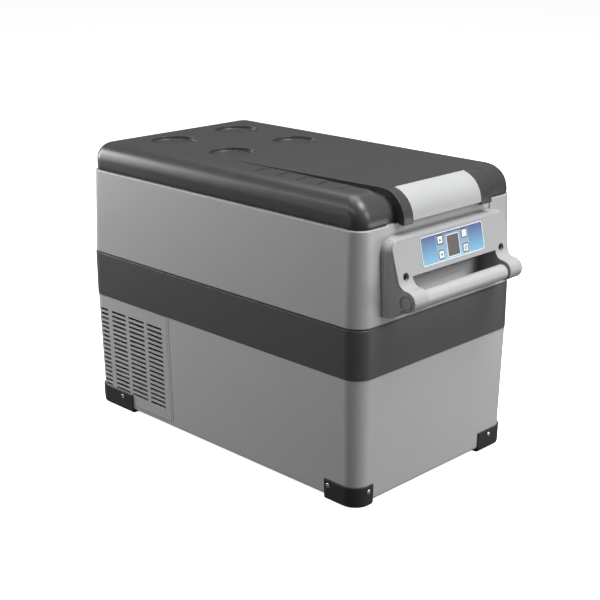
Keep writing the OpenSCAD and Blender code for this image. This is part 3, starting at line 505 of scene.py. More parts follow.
# Plastics: name, colour, roughness, depth of the grain. Metals: name, colour, roughness, stretch and scale
# of the streaks. Films: name, lower and upper colour.
MAT = {
    "shell": plastic("shell_grey", (0.311, 0.313, 0.317), 0.5, 0.25),
    "upper": plastic("upper_grey", (0.263, 0.265, 0.268), 0.5, 0.25),
    "band": plastic("band_dark", (0.049, 0.049, 0.050), 0.46, 0.3, specular=0.3),
    "lid": plastic("lid_dark", (0.031, 0.031, 0.032), 0.34, 0.2, specular=0.3),
    "rim": plastic("rim_grey", (0.34, 0.345, 0.352), 0.45, 0.2),
    "liner": plastic("liner_white", (0.44, 0.452, 0.465), 0.35, 0.08),
    "foot": plastic("foot_black", (0.022, 0.022, 0.022), 0.5, 0.5, mottle=0.04, specular=0.25),
    "fan": plastic("fan_black", (0.015, 0.015, 0.016), 0.45, 0.2),
    "base": plastic("handle_grey", (0.294, 0.296, 0.30), 0.5, 0.3),
    "fascia": plastic("fascia_light", (0.254, 0.256, 0.259), 0.45, 0.2),
    "bar": plastic("bar_light", (0.28, 0.282, 0.285), 0.42, 0.2),
    # paler than the shells' grey: partly the body's own colour, partly painted light that lifts the shade at
    # the back of the finger recess
    "pocket": plastic("pocket_grey", (0.42, 0.423, 0.428), 0.5, 0.25),
    "cap": plastic("cap_grey", (0.222, 0.224, 0.227), 0.5, 0.3),
    "latch": plastic("latch_light", (0.27, 0.272, 0.275), 0.4, 0.15),
    "key": plastic("key_white", (0.62, 0.62, 0.62), 0.35, 0.1),
    "ink": plastic("ink_black", (0.015, 0.015, 0.018), 0.4, 0.05),
    "ink_red": plastic("ink_red", (0.75, 0.25, 0.27), 0.4, 0.05),
    "ink_white": plastic("ink_white", (0.62, 0.63, 0.64), 0.35, 0.05),
    "glass": plastic("display_glass", (0.100, 0.088, 0.080), 0.18, 0.02),
    "socket": plastic("socket_black", (0.02, 0.02, 0.021), 0.45, 0.3),
    "lamp": plastic("lamp_white", (0.66, 0.66, 0.62), 0.25, 0.05),
    "board": plastic("circuit_board", (0.02, 0.13, 0.06), 0.3, 0.1, mottle=0.15),
    "basket": plastic("basket_white", (0.56, 0.56, 0.57), 0.3, 0.1),
    "hinge": plastic("hinge_dark", (0.055, 0.055, 0.058), 0.4, 0.3),
    "gasket": soft_seal("gasket", (0.06, 0.06, 0.063)),
    "grommet": soft_seal("grommet", (0.02, 0.02, 0.02)),
    "foam": foam_material(),
    "steel": metal("screw_steel", (0.55, 0.55, 0.57), 0.32, (1, 1, 1), 900),
    "dark_steel": metal("screw_dark", (0.06, 0.06, 0.065), 0.4, (1, 1, 1), 900),
    "sheet": metal("galvanised", (0.62, 0.63, 0.65), 0.42, (1, 1, 1), 90),
    "pin": metal("pin_steel", (0.65, 0.65, 0.67), 0.25, (1, 20, 1), 200),
    "copper": metal("copper", (0.72, 0.38, 0.23), 0.3, (12, 12, 12), 60),
    "wire": plastic("wire_black", (0.02, 0.02, 0.021), 0.35, 0.1),
    "enamel": plastic("compressor_black", (0.014, 0.014, 0.015), 0.28, 0.12, mottle=0.1),
    "heatsink": metal("heatsink", (0.7, 0.71, 0.73), 0.38, (20, 1, 1), 120),
    "film_blue": film("overlay_blue", (0.155, 0.36, 0.50), (0.075, 0.105, 0.225)),
    "film_pale": film("overlay_pale", (0.19, 0.37, 0.50), (0.185, 0.225, 0.31)),
}

# ---------- body

VENT_X = (-262, -96)
VENT_Z = (11, BAND_Z[0] - 0.4)
VENT_IN = 110           # Y at which a vent panel's volume ends inside the body
VENT_GAP = 0.7          # line around a vent panel
VENT_SKIN = 1.7         # thickness of a vent panel around its slots
VENT_HOLLOW = 12
SLOT_COLUMNS = ((-252, -234), (-225, -192), (-185, -149), (-142, -108))
SLOT_ROWS = 18
SLOT_LOW = 31
SLOT_PITCH = 7.15
SLOT_H = 3.4
SLOT_TOP = SLOT_LOW + (SLOT_ROWS - 1) * SLOT_PITCH
SEAM_X = (-92.4, -91.4)  # second line beside each vent panel
SEAM_DEPTH = 0.9
INLET_Y = (20, 78)      # centres of the two power inlets in the rear end
INLET_Z = 160
INLET_HALF = (13, 11)   # half width and half height of an inlet's opening


def body_outline(inset):
    """Plan of the body, drawn in from the band's faces."""
    return outline((-HALF_L + inset, HALF_L - inset), (-HALF_W + inset, HALF_W - inset), CORNER_R - inset)


def body_solid(name, levels, grow=0):
    """Full solid through levels of (inset, height)."""
    return solid(name, [at_z(body_outline(inset - grow), z) for inset, z in levels])


def body_ring(name, profile):
    """Ring around the body, through a closed profile of (inset, height)."""
    return solid(name, [at_z(body_outline(inset), z) for inset, z in profile], closed=True)


def lower_tray(name):
    """Tray with rounded lower edges: the lower shell and its vent panels."""
    return body_solid(name, LOWER_LEVELS + LOWER_INSIDE)


def vent_window(side, grow):
    """Volume of a vent panel through the side face at -Y (-1) or +Y (1)."""
    y = sorted((side * VENT_IN, side * (HALF_W + FAR)))
    return block("window", (VENT_X[0] - grow, VENT_X[1] + grow), y, (VENT_Z[0] - grow, VENT_Z[1] + grow))


def side_inset(z):
    """How far the lower shell's straight side is drawn in at height z."""
    (low_inset, low_z), (high_inset, high_z) = LOWER_LEVELS[-2:]
    return low_inset + (high_inset - low_inset) * (z - low_z) / (high_z - low_z)


def side_slab(side, x, z, depth):
    """Volume between two depths under the lower shell's side face, at -Y (-1) or +Y (1)."""
    levels = []
    for height in z:
        y = sorted(side * (HALF_W - side_inset(height) - d) for d in depth)
        levels.append(at_z([(x[0], y[0]), (x[1], y[0]), (x[1], y[1]), (x[0], y[1])], height))
    return solid("slab", levels)


def slot_outline(x, z, r):
    """Stadium between two X positions."""
    return arc((x[1] - r, z), r, -90, 90, 6) + arc((x[0] + r, z), r, 90, 270, 6)


def make_lower_shell():
    """Tray with openings for the vent panels and the power inlets."""
    shell = lower_tray("lower_shell_skin")
    windows = [vent_window(side, 0) for side in (-1, 1)]
    seams = [side_slab(side, SEAM_X, (FLOOR_GAP + 8, VENT_Z[1]), (SEAM_DEPTH, -FAR)) for side in (-1, 1)]
    inlets = [block("inlet", (-HALF_L - FAR, -HALF_L + 12), (y - INLET_HALF[0], y + INLET_HALF[0]),
                    (INLET_Z - INLET_HALF[1], INLET_Z + INLET_HALF[1])) for y in INLET_Y]
    cut(shell, *windows, *seams, *inlets)
    shade(shell)
    piece(shell, "root", ["lower_shell"], "shell")


def make_vent_panels():
    """One panel with its columns of slots, and its mirror image."""
    panel = lower_tray("vent_panel_left_skin")
    combine(panel, "INTERSECT", vent_window(-1, -VENT_GAP))
    slots = [across("slot", slot_outline(column, SLOT_LOW + row * SLOT_PITCH, SLOT_H / 2),
                    (-HALF_W - 2 * FAR, -HALF_W + 20)) for column in SLOT_COLUMNS for row in range(SLOT_ROWS)]
    hollow = side_slab(-1, (SLOT_COLUMNS[0][0] - 3, SLOT_COLUMNS[-1][1] + 3), (SLOT_LOW - 4, SLOT_TOP + 4),
                       (VENT_SKIN, VENT_HOLLOW))
    cut(panel, hollow, join(*slots))
    soften(panel, 0.3, 2)
    other = mirrored(panel, "vent_panel_right_skin", 1)
    piece(panel, "root", ["vent_panel_left"], "shell")
    piece(other, "root", ["vent_panel_right"], "shell")


def make_band():
    """Dark band, stepped in at its top for the shadow line."""
    low, high = BAND_Z
    ledge = REVEAL_Z[0]
    band = body_ring("middle_band_skin", [
        (0.5, low), (0, low + 0.5), (0, ledge - 0.4), (0.4, ledge), (REVEAL_DEPTH, ledge),
        (REVEAL_DEPTH, high), (WALL, high), (WALL, low)])
    shade(band)
    piece(band, "root", ["middle_band"], "band")


def make_painted_shadow_strip():
    """Black strip in the shadow line: painted shade, a dark sheet where there is only shade."""
    outer, inner = REVEAL_DEPTH - 0.9, REVEAL_DEPTH + 0.5
    low, high = REVEAL_Z[0] - 0.3, REVEAL_Z[1] + 0.2
    shadow_strip = body_ring("painted_shadow_strip_ring", [(outer, low), (outer, high), (inner, high), (inner, low)])
    shade(shadow_strip)
    # black socket plastic, used here as painted shade in the shadow line
    piece(shadow_strip, "root", [], "socket")


HOUSING_FIT = 0.3       # gap around what passes through the upper shell
NOTCH_HALF = 101        # notch over the display end, under the latch
NOTCH_DEPTH = 7


def make_upper_shell():
    """Drafted shell with a rounded top edge, windows behind the handles and a notch under the latch."""
    foot, top = UPPER_LEVELS[0][0], UPPER_LEVELS[1][0]
    shell = body_ring("upper_shell_skin", [
        (foot + 0.6, BAND_Z[1]), (foot, BAND_Z[1] + 0.6),
        (top - 0.08, BODY_TOP - 2), (top + 0.15, BODY_TOP - 1.1), (top + 0.7, BODY_TOP - 0.35),
        (top + 1.5, BODY_TOP), (RIM_INSET, BODY_TOP), (foot + WALL, BAND_Z[1])])
    half = POCKET_HALF + POCKET_WALL + HOUSING_FIT
    z = (HOUSING[0] - POCKET_WALL - HOUSING_FIT, PANEL_FOOT[1] + 2)
    windows = [block("window", sorted((sx * (HALF_L - 20), sx * (HALF_L + FAR))), (-half, half), z)
               for sx in (1, -1)]
    notch = block("notch", (HALF_L - NOTCH_DEPTH, HALF_L + FAR), (-NOTCH_HALF, NOTCH_HALF),
                  (HOUSING[1] + HOUSING_FIT, BODY_TOP + FAR))
    cut(shell, *windows, notch)
    soften(shell, 0.5, 2)
    piece(shell, "root", ["upper_shell"], "upper")


# ---------- screws


def screw(head_r, head_h, shank_r, shank_l, recess):
    """Pan-head screw along Z with its head up; recess is half the width of the cross's arms."""
    edge = 0.35  # share of the head's height that stands upright
    dome = [(head_r * math.cos(a), head_h * (edge + (1 - edge) * math.sin(a)))
            for a in [math.radians(v) for v in range(0, 90, 12)]]
    shank = [(0, -shank_l), (shank_r * 0.4, -shank_l), (shank_r, -shank_l + shank_r), (shank_r, 0)]
    body = lathe("screw", shank + [(head_r - 0.2, 0), (head_r, 0.2)] + dome + [(0, head_h)], 32)
    arm = head_r * 0.62
    z = (head_h * 0.45, head_h + 2)
    cross = combine(block("arm", (-arm, arm), (-recess, recess), z), "UNION",
                    block("arm", (-recess, recess), (-arm, arm), z))
    return cut(body, cross)


def join_set(name, parts, node, material):
    """Joins repeated parts into one piece on the fixed body."""
    group = join(*parts)
    group.name = name
    shade(group)
    piece(group, "root", [node], material)


# ---------- feet

FOOT_H = 29
FOOT_R = 4              # rounded upper corner of each face
FOOT_PROFILE = ((5.5, 0), (3.9, 0.8), (2.9, 2.0), (2.5, 4), (1.9, FOOT_H - 0.8), (2.5, FOOT_H))
FOOT_SCREW = {"head_r": 3.4, "head_h": 1.25, "shank_r": 1.7, "shank_l": 5, "recess": 0.45}
FOOT_SCREW_Z = 21
FOOT_SCREW_SEAT = 2.1   # inset of the screws' seat
# Each foot's corner, the upper and lower length of its side face and of its end face, and its screws' places
# along X and Y.
FEET = {
    "foot_front_left": (1, -1, (57, 59), (33, 35), (221, 134.8)),
    "foot_front_right": (1, 1, (57, 59), (50, 64), (221, 119)),
    "foot_rear_left": (-1, -1, (69, 87), (50, 64), (208, 119)),
    "foot_rear_right": (-1, 1, (69, 87), (50, 64), (208, 119)),
}


def foot_face(edge, lengths):
    """Outline of one face: splayed towards the floor, with a rounded upper corner."""
    upper, lower = lengths
    return ([(edge + FAR, -FAR), (edge - lower, -FAR), (edge - lower, 0)]
            + arc((edge - upper + FOOT_R, FOOT_H - FOOT_R), FOOT_R, 170, 90, 8) + [(edge + FAR, FOOT_H)])


def make_feet():
    """A cap around each lower corner of the body."""
    for node, (sx, sy, side, end, _) in FEET.items():
        side_y = sorted((sy * (HALF_W + FAR), sy * (HALF_W - end[1])))
        end_x = sorted((sx * (HALF_L + FAR), sx * (HALF_L - side[1])))
        faces = combine(across("side", [(sx * x, z) for x, z in foot_face(HALF_L, side)], side_y), "UNION",
                        along("end", [(sy * y, z) for y, z in foot_face(HALF_W, end)], end_x))
        foot = combine(body_solid(node + "_skin", FOOT_PROFILE), "INTERSECT", faces)
        cut(foot, body_solid("inside", LOWER_LEVELS, grow=0.05))
        soften(foot, 0.7)
        piece(foot, "root", [node], "foot")


def make_foot_screws():
    """Two screws through each foot, one in its side face and one in its end face."""
    parts = []
    for sx, sy, _, _, (side_x, end_y) in FEET.values():
        places = (Matrix.Translation((sx * side_x, sy * (HALF_W - FOOT_SCREW_SEAT), FOOT_SCREW_Z))
                  @ Matrix.Rotation(-sy * math.pi / 2, 4, "X"),
                  Matrix.Translation((sx * (HALF_L - FOOT_SCREW_SEAT), sy * end_y, FOOT_SCREW_Z))
                  @ Matrix.Rotation(sx * math.pi / 2, 4, "Y"))
        parts += [place(screw(**FOOT_SCREW), matrix) for matrix in places]
    join_set("foot_screw_set", parts, "foot_screws", "steel")


# ---------- handles

HOUSING_IN = 250        # where a housing ends inside the body
CROWN_R = 4             # rounded upper edge
CHIN = ((290, 256.5), 283)  # end of the arms' underside, and where it meets the lower edge
# X and half width of the housing, which draws in towards the bar.
HOUSING_PLAN = ((240, HOUSING_HALF), (274.2, HOUSING_HALF), (274.8, HOUSING_HALF - 1), (296, ARM_OUT + 0.4),
                (330, ARM_OUT))
FASCIA_SCREW = {"head_r": 3.5, "head_h": 2.2, "shank_r": 2, "shank_l": 14, "recess": 0.5}
FASCIA_SCREW_Y = 96.7
CAP_R = 10.3
CAP_T = 2.6
SPIGOT_R = 7            # ends of the bar inside the arms
SPIGOT_L = 18

KEY_PLACES = {"key_up": (-25, 32.7), "key_down": (-25, 14), "key_power": (24, 32.7), "key_set": (24, 14)}
KEY_HALF = 4.5
LCD_HALF = 11           # display window; V is measured up the slope of the panel
LCD_V = (9.2, 34.8)
OVERLAY_HALF = 62.5     # printed film
OVERLAY_V = (5.1, 42.0)
OVERLAY_T = 0.5
PANEL_CAVITY = ((-24, 0), (-66, 66), (4, 43))  # room behind the panel, in its own plane


def housing_outline(t, low):
    """Side outline of a handle housing, moved inwards by t along its face."""
    normal = Vector((math.cos(TILT), math.sin(TILT)))
    slope = Vector((-math.sin(TILT), math.cos(TILT)))
    foot = Vector(PANEL_FOOT)
    start = foot + slope * ((ARM_START - PANEL_FOOT[1]) / slope.y)
    top = foot - t * normal + slope * ((HOUSING[1] - 3 - PANEL_FOOT[1]) / slope.y)
    # The fillet touches the panel's line at its start, and the round boss.
    d = Vector(BOSS_C) - start
    fillet = (d.dot(d) - BOSS_R ** 2) / (2 * (BOSS_R + d.dot(normal)))
    hub = start + fillet * normal
    away = hub - Vector(BOSS_C)
    meet = math.degrees(math.atan2(away.y, away.x))
    tilt = math.degrees(TILT)
    crown = arc((top.x - CROWN_R, HOUSING[1] - t - CROWN_R), CROWN_R, 90, tilt, 8)
    return ([(HOUSING_IN, low), (HOUSING_IN, HOUSING[1] - t)] + crown
            + arc(hub, fillet + t, 180 + tilt, 180 + meet, 16)
            + arc(BOSS_C, BOSS_R - t, meet - 4, -118, 36) + [CHIN[0], (CHIN[1], low)])


def housing_block(name, t, low):
    """Housing volume: its side outline within a loft with rounded upper corners."""
    body = across(name, housing_outline(t, low), (-HOUSING_HALF - FAR, HOUSING_HALF + FAR))
    z = (HOUSING[0] - 40, HOUSING[1])
    loft = solid("loft", [[(x, a, b) for a, b in outline((-half, half), z, HOUSING_CORNER, 10)]
                          for x, half in HOUSING_PLAN])
    return combine(body, "INTERSECT", loft)


def finger_gap(mouth_half, back_half):
    """Opening for the hand under the panel."""
    back, mouth = POCKET_BACK - 20, HANDLE_FAR
    return prism("gap", [(back, -back_half), (mouth, -mouth_half), (mouth, mouth_half), (back, back_half)],
                 (200, POCKET_TOP))


def panel_matrix():
    """Plane of the sloped panel: X outwards, Y across, Z up the slope."""
    return Matrix.Translation((PANEL_FOOT[0], 0, PANEL_FOOT[1])) @ Matrix.Rotation(-TILT, 4, "Y")


def panel_plate(name, y, v, w, r, n=6):
    """Rounded plate in the panel's plane, between two heights w over it."""
    return place(along(name, outline(y, v, r, n), w), panel_matrix())


def panel_rod(y, v, w, r):
    """Round plug along the panel's normal."""
    return place(along("rod", circle((y, v), r, 32), w), panel_matrix())


def rod_y(c, r, y):
    """Round plug along Y."""
    return across("rod", circle(c, r, 48), y)


def panel_holes(w):
    """Tools for the display window and the key holes."""
    gap = 0.3
    lcd_v = (LCD_V[0] - gap, LCD_V[1] + gap)
    tools = [panel_plate("lcd", (-LCD_HALF - gap, LCD_HALF + gap), lcd_v, w, 0.6, 2)]
    for y, v in KEY_PLACES.values():
        half = KEY_HALF + gap
        tools.append(panel_plate("key", (y - half, y + half), (v - half, v + half), w, 1.2, 4))
    return tools


def screw_holes(w, r):
    """Tools for the two screws beside the finger gap."""
    return [panel_rod(s * FASCIA_SCREW_Y, 0, w, r) for s in (-1, 1)]


def cap_seats():
    """Tools for the seats of the end caps."""
    return [rod_y(BAR_C, CAP_R + 0.1, sorted((s * (ARM_OUT - CAP_T + 0.6), s * (ARM_OUT + FAR))))
            for s in (-1, 1)]


def make_fascia(name, display):
    """Light outer shell of a handle, with or without the control panel's openings."""
    fascia = housing_block(name, 0, HOUSING[0])
    half = HOUSING_HALF + 2 * FAR
    inner = across("inner", housing_outline(SKIN, HOUSING[0] - FAR), (-half, half))
    tools = [inner, finger_gap(ARM_IN, ARM_IN), body_solid("shell", UPPER_LEVELS, grow=0.1)] + cap_seats()
    tools += screw_holes((-8, FAR), 5.3)
    if display:
        gap = 0.2
        tools.append(panel_plate("seat", (-OVERLAY_HALF - gap, OVERLAY_HALF + gap),
                                 (OVERLAY_V[0] - gap, OVERLAY_V[1] + gap), (-OVERLAY_T - 0.1, FAR), 4.2))
        tools += panel_holes((-SKIN - FAR, FAR))
    cut(fascia, *tools)
    return soften(fascia, 0.6)


def make_handle_base(name):
    """Darker inner housing with the finger recess, a cavity for the electronics and the bar's bores."""
    base = housing_block(name, SKIN + 0.1, HOUSING[0])
    cut(base, finger_gap(ARM_IN, POCKET_HALF + 0.6), body_solid("shell", UPPER_LEVELS, grow=0.1))
    half = POCKET_HALF + POCKET_WALL
    tray = block("tray", (POCKET_BACK - POCKET_WALL, 275), (-half, half),
                 (HOUSING[0] - POCKET_WALL, PANEL_FOOT[1] + 1))
    cut(tray, block("hollow", (POCKET_BACK, HANDLE_FAR), (-POCKET_HALF, POCKET_HALF),
                    (HOUSING[0], POCKET_TOP)),
        block("under", (HALF_L - 1, HANDLE_FAR), (-HALF_W, HALF_W), (200, HOUSING[0])))
    combine(base, "UNION", tray)
    cavity = place(block("cavity", *PANEL_CAVITY), panel_matrix())
    bores = [rod_y(BAR_C, SPIGOT_R + 0.06, sorted((s * (ARM_IN - 1), s * (ARM_IN + SPIGOT_L + 0.5))))
             for s in (-1, 1)]
    cut(base, cavity, *screw_holes((-5.5, FAR), 4.6), *bores, *cap_seats())
    return soften(base, 0.5, 2)


def make_bar(name):
    """Handle bar with softly rounded shoulders and its two spigots."""
    half = ARM_IN - 0.3
    r = 1.5
    shoulder = [(BAR_R - r + r * math.sin(a), half - r + r * math.cos(a)) for a in
                [math.radians(v) for v in range(0, 91, 15)]]
    end = half + SPIGOT_L
    top = [(0, end), (SPIGOT_R - 0.5, end), (SPIGOT_R, end - 0.5), (SPIGOT_R, half)] + shoulder
    bar = lathe(name, [(x, -z) for x, z in top] + [(x, z) for x, z in reversed(top)], 64)
    place(bar, Matrix.Translation((BAR_C[0], 0, BAR_C[1])) @ Matrix.Rotation(-math.pi / 2, 4, "X"))
    return shade(bar)


def make_caps():
    """Four end caps, each a disc with a ring groove and a raised centre."""
    profile = [(0, 0), (CAP_R, 0), (CAP_R, 1.5), (CAP_R - 0.5, 1.9), (CAP_R - 1.6, 1.9), (CAP_R - 1.8, 1.2),
               (CAP_R - 2.5, 1.2), (CAP_R - 2.7, 2.1), (CAP_R - 3.4, 2.4), (0, 2.5)]
    caps = []
    for sx in (-1, 1):
        for sy in (-1, 1):
            seat = Matrix.Translation((sx * BAR_C[0], sy * (ARM_OUT - CAP_T + 0.7), BAR_C[1]))
            caps.append(place(lathe("cap", profile, 64), seat @ Matrix.Rotation(-sy * math.pi / 2, 4, "X")))
    join_set("handle_end_cap_set", caps, "handle_end_caps", "cap")


def make_fascia_screws():
    """Two screws through each fascia, mirrored to the rear handle."""
    parts = []
    for sx in (-1, 1):
        for sy in (-1, 1):
            seat = panel_matrix() @ Matrix.Translation((-SKIN - 2.9, sy * FASCIA_SCREW_Y, 0))
            one = place(screw(**FASCIA_SCREW), seat @ Matrix.Rotation(math.pi / 2, 4, "Y"))
            if sx < 0:
                one.data.transform(Matrix.Diagonal((-1, 1, 1, 1)))
                one.data.flip_normals()
            parts.append(one)
    join_set("fascia_screw_set", parts, "fascia_screws", "dark_steel")


def make_pocket_back(name):
    """Plate at the back of a finger recess: the body's pale grey, made paler still to lift the recess's
    shade, partly its own colour and partly painted light.
    """
    half = POCKET_HALF - 0.2
    plate = block(name, (POCKET_BACK - 0.2, POCKET_BACK + 0.5), (-half, half),
                  (HOUSING[0] + 0.2, POCKET_TOP - 0.2))
    return soften(plate, 0.2, 2)


def make_handles():
    """Front handle with the control panel, and the plain rear one."""
    fascia = make_fascia("front_fascia_skin", True)
    blank = make_fascia("blank", False)
    piece(fascia, "root", ["front_fascia"], "fascia")
    piece(mirrored(blank, "rear_fascia_shell", 0), "root", ["rear_fascia"], "fascia")
    discard(blank)
    for make, shape, node, slot, material in (
            (make_handle_base, "handle_base_skin", "handle_base", "handle_grey", "base"),
            (make_bar, "handle_bar_round", "handle_bar", "bar_light", "bar")):
        front = make("front_" + shape)
        rear = mirrored(front, "rear_" + shape, 0)
        piece(front, "root", ["front_" + node], material)
        piece(rear, "root", ["rear_" + node], material)
    make_caps()
    make_fascia_screws()
    front = make_pocket_back("front_pocket_back")
    rear = mirrored(front, "rear_pocket_back", 0)
    piece(front, "root", [], "pocket")
    piece(rear, "root", [], "pocket")


# ---------- control panel


def frame_plate(name, y, v, w, r, rim):
    """Rounded frame in the panel's plane."""
    ring = panel_plate(name, y, v, w, r)
    hole = panel_plate("hole", (y[0] + rim, y[1] - rim), (v[0] + rim, v[1] - rim), (w[0] - 1, w[1] + 1),
                       max(r - rim, 0.3))
    return cut(ring, hole)


def printed(obj, material, nodes=()):
    """A printed layer of the control panel."""
    piece(shade(obj), "root", list(nodes), material)


def make_overlay():
    """Film with a white border, a paler centre and outlines around the display and the keys."""
    half, edge = OVERLAY_HALF, 1.0
    border = frame_plate("overlay_border", (-half, half), OVERLAY_V, (-OVERLAY_T, 0.02), 4, edge)
    printed(border, "ink_white")
    film_v = (OVERLAY_V[0] + edge, OVERLAY_V[1] - edge)
    sheet = panel_plate("overlay_film", (-half + edge, half - edge), film_v, (-OVERLAY_T, 0), 3)
    printed(cut(sheet, *panel_holes((-FAR, FAR))), "film_blue", ["display_overlay"])
    pale = panel_plate("overlay_centre", (-33, 32), (film_v[0] + 0.2, film_v[1] - 2.4), (-0.2, 0.04), 0.4)
    printed(cut(pale, *panel_holes((-FAR, FAR))), "film_pale")
    margin = 1.6
    lines = frame_plate("display_outline", (-LCD_HALF - margin, LCD_HALF + margin),
                        (LCD_V[0] - margin, LCD_V[1] + margin), (-0.2, 0.07), 1.2, 0.9)
    printed(lines, "ink_white")
    rim = 1.3
    half = KEY_HALF + rim
    for node, (y, v) in KEY_PLACES.items():
        spans = (y - half, y + half), (v - half, v + half)
        printed(frame_plate(node + "_outline", *spans, (-0.2, 0.08), 2.4, rim), "ink")


def make_display():
    """Display glass on its carrier behind the fascia."""
    glass = panel_plate("display_window", (-LCD_HALF, LCD_HALF), LCD_V, (-2.8, -0.15), 0.5, 3)
    carrier = panel_plate("carrier", (-LCD_HALF - 2, LCD_HALF + 2), (LCD_V[0] - 2, LCD_V[1] + 4),
                          (-5.5, -SKIN - 0.2), 0.5, 2)
    combine(glass, "UNION", carrier)
    soften(glass, 0.15, 2)
    piece(glass, "root", ["display_module"], "glass")


def ring_part(c, r, width, a0, a1):
    """Part of a ring as one outline."""
    return arc(c, r + width / 2, a0, a1, 20) + arc(c, r - width / 2, a1, a0, 20)


# Printed marks, as outlines around each key's centre: up, down, power, and a turning arrow for set.
KEY_MARKS = {
    "key_up": [[(-2.2, -1.6), (2.2, -1.6), (0, 2.2)]],
    "key_down": [[(-2.2, 1.6), (0, -2.2), (2.2, 1.6)]],
    "key_power": [ring_part((0, -0.3), 2.3, 0.8, 125, 415),
                  [(-0.4, 0.3), (0.4, 0.3), (0.4, 3.0), (-0.4, 3.0)]],
    "key_set": [ring_part((0, 0), 2.1, 1.1, -60, 150), [(-3.0, 0.6), (-0.8, 0.6), (-1.9, -1.6)],
                ring_part((0, 0), 2.1, 1.1, 210, 290)],
}
FLANGE_HALF = 5.4       # a key's flange, behind the fascia


def make_keys():
    """Four keys, each with a flange and a printed mark that moves with it."""
    for node, (y, v) in KEY_PLACES.items():
        cap, flange = [panel_plate(name, (y - half, y + half), (v - half, v + half), w, r, n)
                       for name, half, w, r, n in ((node + "_cap", KEY_HALF, (-5.5, 0.3), 1.2, 5),
                                                   ("flange", FLANGE_HALF, (-3.8, -SKIN - 0.2), 1.4, 3))]
        combine(cap, "UNION", flange)
        soften(cap, 0.25)
        piece(cap, node, [node], "key")
    for node, shapes in KEY_MARKS.items():
        y, v = KEY_PLACES[node]
        parts = [place(along("mark", [(y + a, v + b) for a, b in points], (0.2, 0.36)), panel_matrix())
                 for points in shapes]
        mark = join(*parts)
        mark.name = node.replace("key", "mark")
        piece(shade(mark), node, [], "ink_red" if node == "key_power" else "ink")


# ---------- lid

# Plan of the groove beside the tongue: a long wedge that runs out over the display end.
GROOVE = ((-24, -99), (230, -83), (290, -87), (290, -103), (233, -103), (84, -98))
GROOVE_C = (232, 368)   # centre and half axes of the curve at the front of the groove's floor
GROOVE_A = 30
GROOVE_B = 27.6
RIB_X = (84, 124, 160, 197, 233)  # front end of each step on the lid's shoulder
RIB_Y = (-127.5, -100)
RIB_L = 33
RIB_DEPTH = 1.3
RIB_SLANT = 4
LINE_X = (-22, -4)      # fine line along each step's outer edge, measured from its front end
LINE_PROFILE = ((-128.8, LID_TOP + 3), (-128.8, LID_TOP - 0.3), (-128.2, LID_TOP - 1),
                (-126.2, LID_TOP + 0.3), (-126.2, LID_TOP + 3))
# Heights and insets of the hollow under the lid's roof, whose front draws in faster than its sides.
HOLLOW_LEVELS = ((LID_LOW - FAR, 0), (386, 2.4), (399.9, 14))
HOLLOW_FRONT = 247.8


def roll(z, r):
    """How far a rolled edge of radius r has drawn in at height z."""
    rise = z - (LID_TOP - r)
    return 0 if rise <= 0 else r - math.sqrt(max(r * r - rise * rise, 0))


def lid_level(z, tuck=0):
    """Lid's outline at a height, drawn in further by tuck."""
    side = roll(z, LID_SIDE_R) + tuck
    front = roll(z, LID_FRONT_R) + tuck
    half = LID_HALF_W - side
    r = max(LID_CORNER_R - side * 0.8, 9)
    return at_z(outline((LID_X[0] + side, LID_X[1] - front), (-half, half), r, 16), z)


def lid_block(name):
    """Lid's volume: a lower edge that tucks in, then heights that follow the front roll evenly."""
    lower = [lid_level(LID_LOW + rise, tuck) for rise, tuck in ((0, 2.2), (0.5, 1.1), (1.4, 0.35), (2.8, 0))]
    steps = 18
    rolled = [lid_level(LID_TOP - LID_FRONT_R + LID_FRONT_R * math.sin(math.radians(90 * i / steps)))
              for i in range(1, steps + 1)]
    return solid(name, lower + rolled)


def tongue_outline(t, a0, a1):
    """Curve of the tongue's rounded front, moved inwards by t."""
    return ellipse(TONGUE_C, TONGUE_A - t, TONGUE_B - t, a0, a1, 28)


def tongue_block():
    """Volume of the tongue, which starts inside the lid."""
    back = 225
    profile = ([(back, LID_LOW + 1), (TONGUE_BACK, LID_LOW + 1), (TONGUE_BACK, TONGUE_LOW),
                (TONGUE_C[0] + TONGUE_A, TONGUE_LOW)] + tongue_outline(0, 0, 90) + [(back, LID_TOP)])
    return across("tongue", profile, (-TONGUE_HALF, TONGUE_HALF))


def latch_well():
    """Recess for the latch, with a slot for its tooth."""
    profile = (arc(LATCH_C, LATCH_BARREL + 0.35, 280, 90, 20)
               + [(LATCH_C[0], LID_TOP + FAR), (LID_FAR, LID_TOP + FAR), (LID_FAR, TONGUE_LOW - FAR),
                  (TONGUE_BACK - 0.1, TONGUE_LOW - FAR)] + tongue_outline(LATCH_WELL, 0, 62))
    half = LATCH_HALF + 0.6
    return combine(across("well", profile, (-half, half)), "UNION",
                   block("slot", *TOOTH_SLOT))


def groove_tool():
    """Groove whose floor slopes down towards the front, then curves over."""
    curve = [(GROOVE_C[0] + GROOVE_A * math.sin(a), GROOVE_C[1] + GROOVE_B * math.cos(a))
             for a in [math.radians(90 * i / 28) for i in range(29)]]
    profile = ([(GROOVE[0][0], LID_TOP + FAR), (GROOVE[0][0], LID_TOP)] + curve
               + [(GROOVE_C[0] + GROOVE_A, TONGUE_LOW - FAR), (LID_FAR, TONGUE_LOW - FAR),
                  (LID_FAR, LID_TOP + FAR)])
    plan = prism("plan", GROOVE, (TONGUE_LOW - 8, 430))
    return combine(across("groove", profile, (-HALF_W, 0)), "INTERSECT", plan)


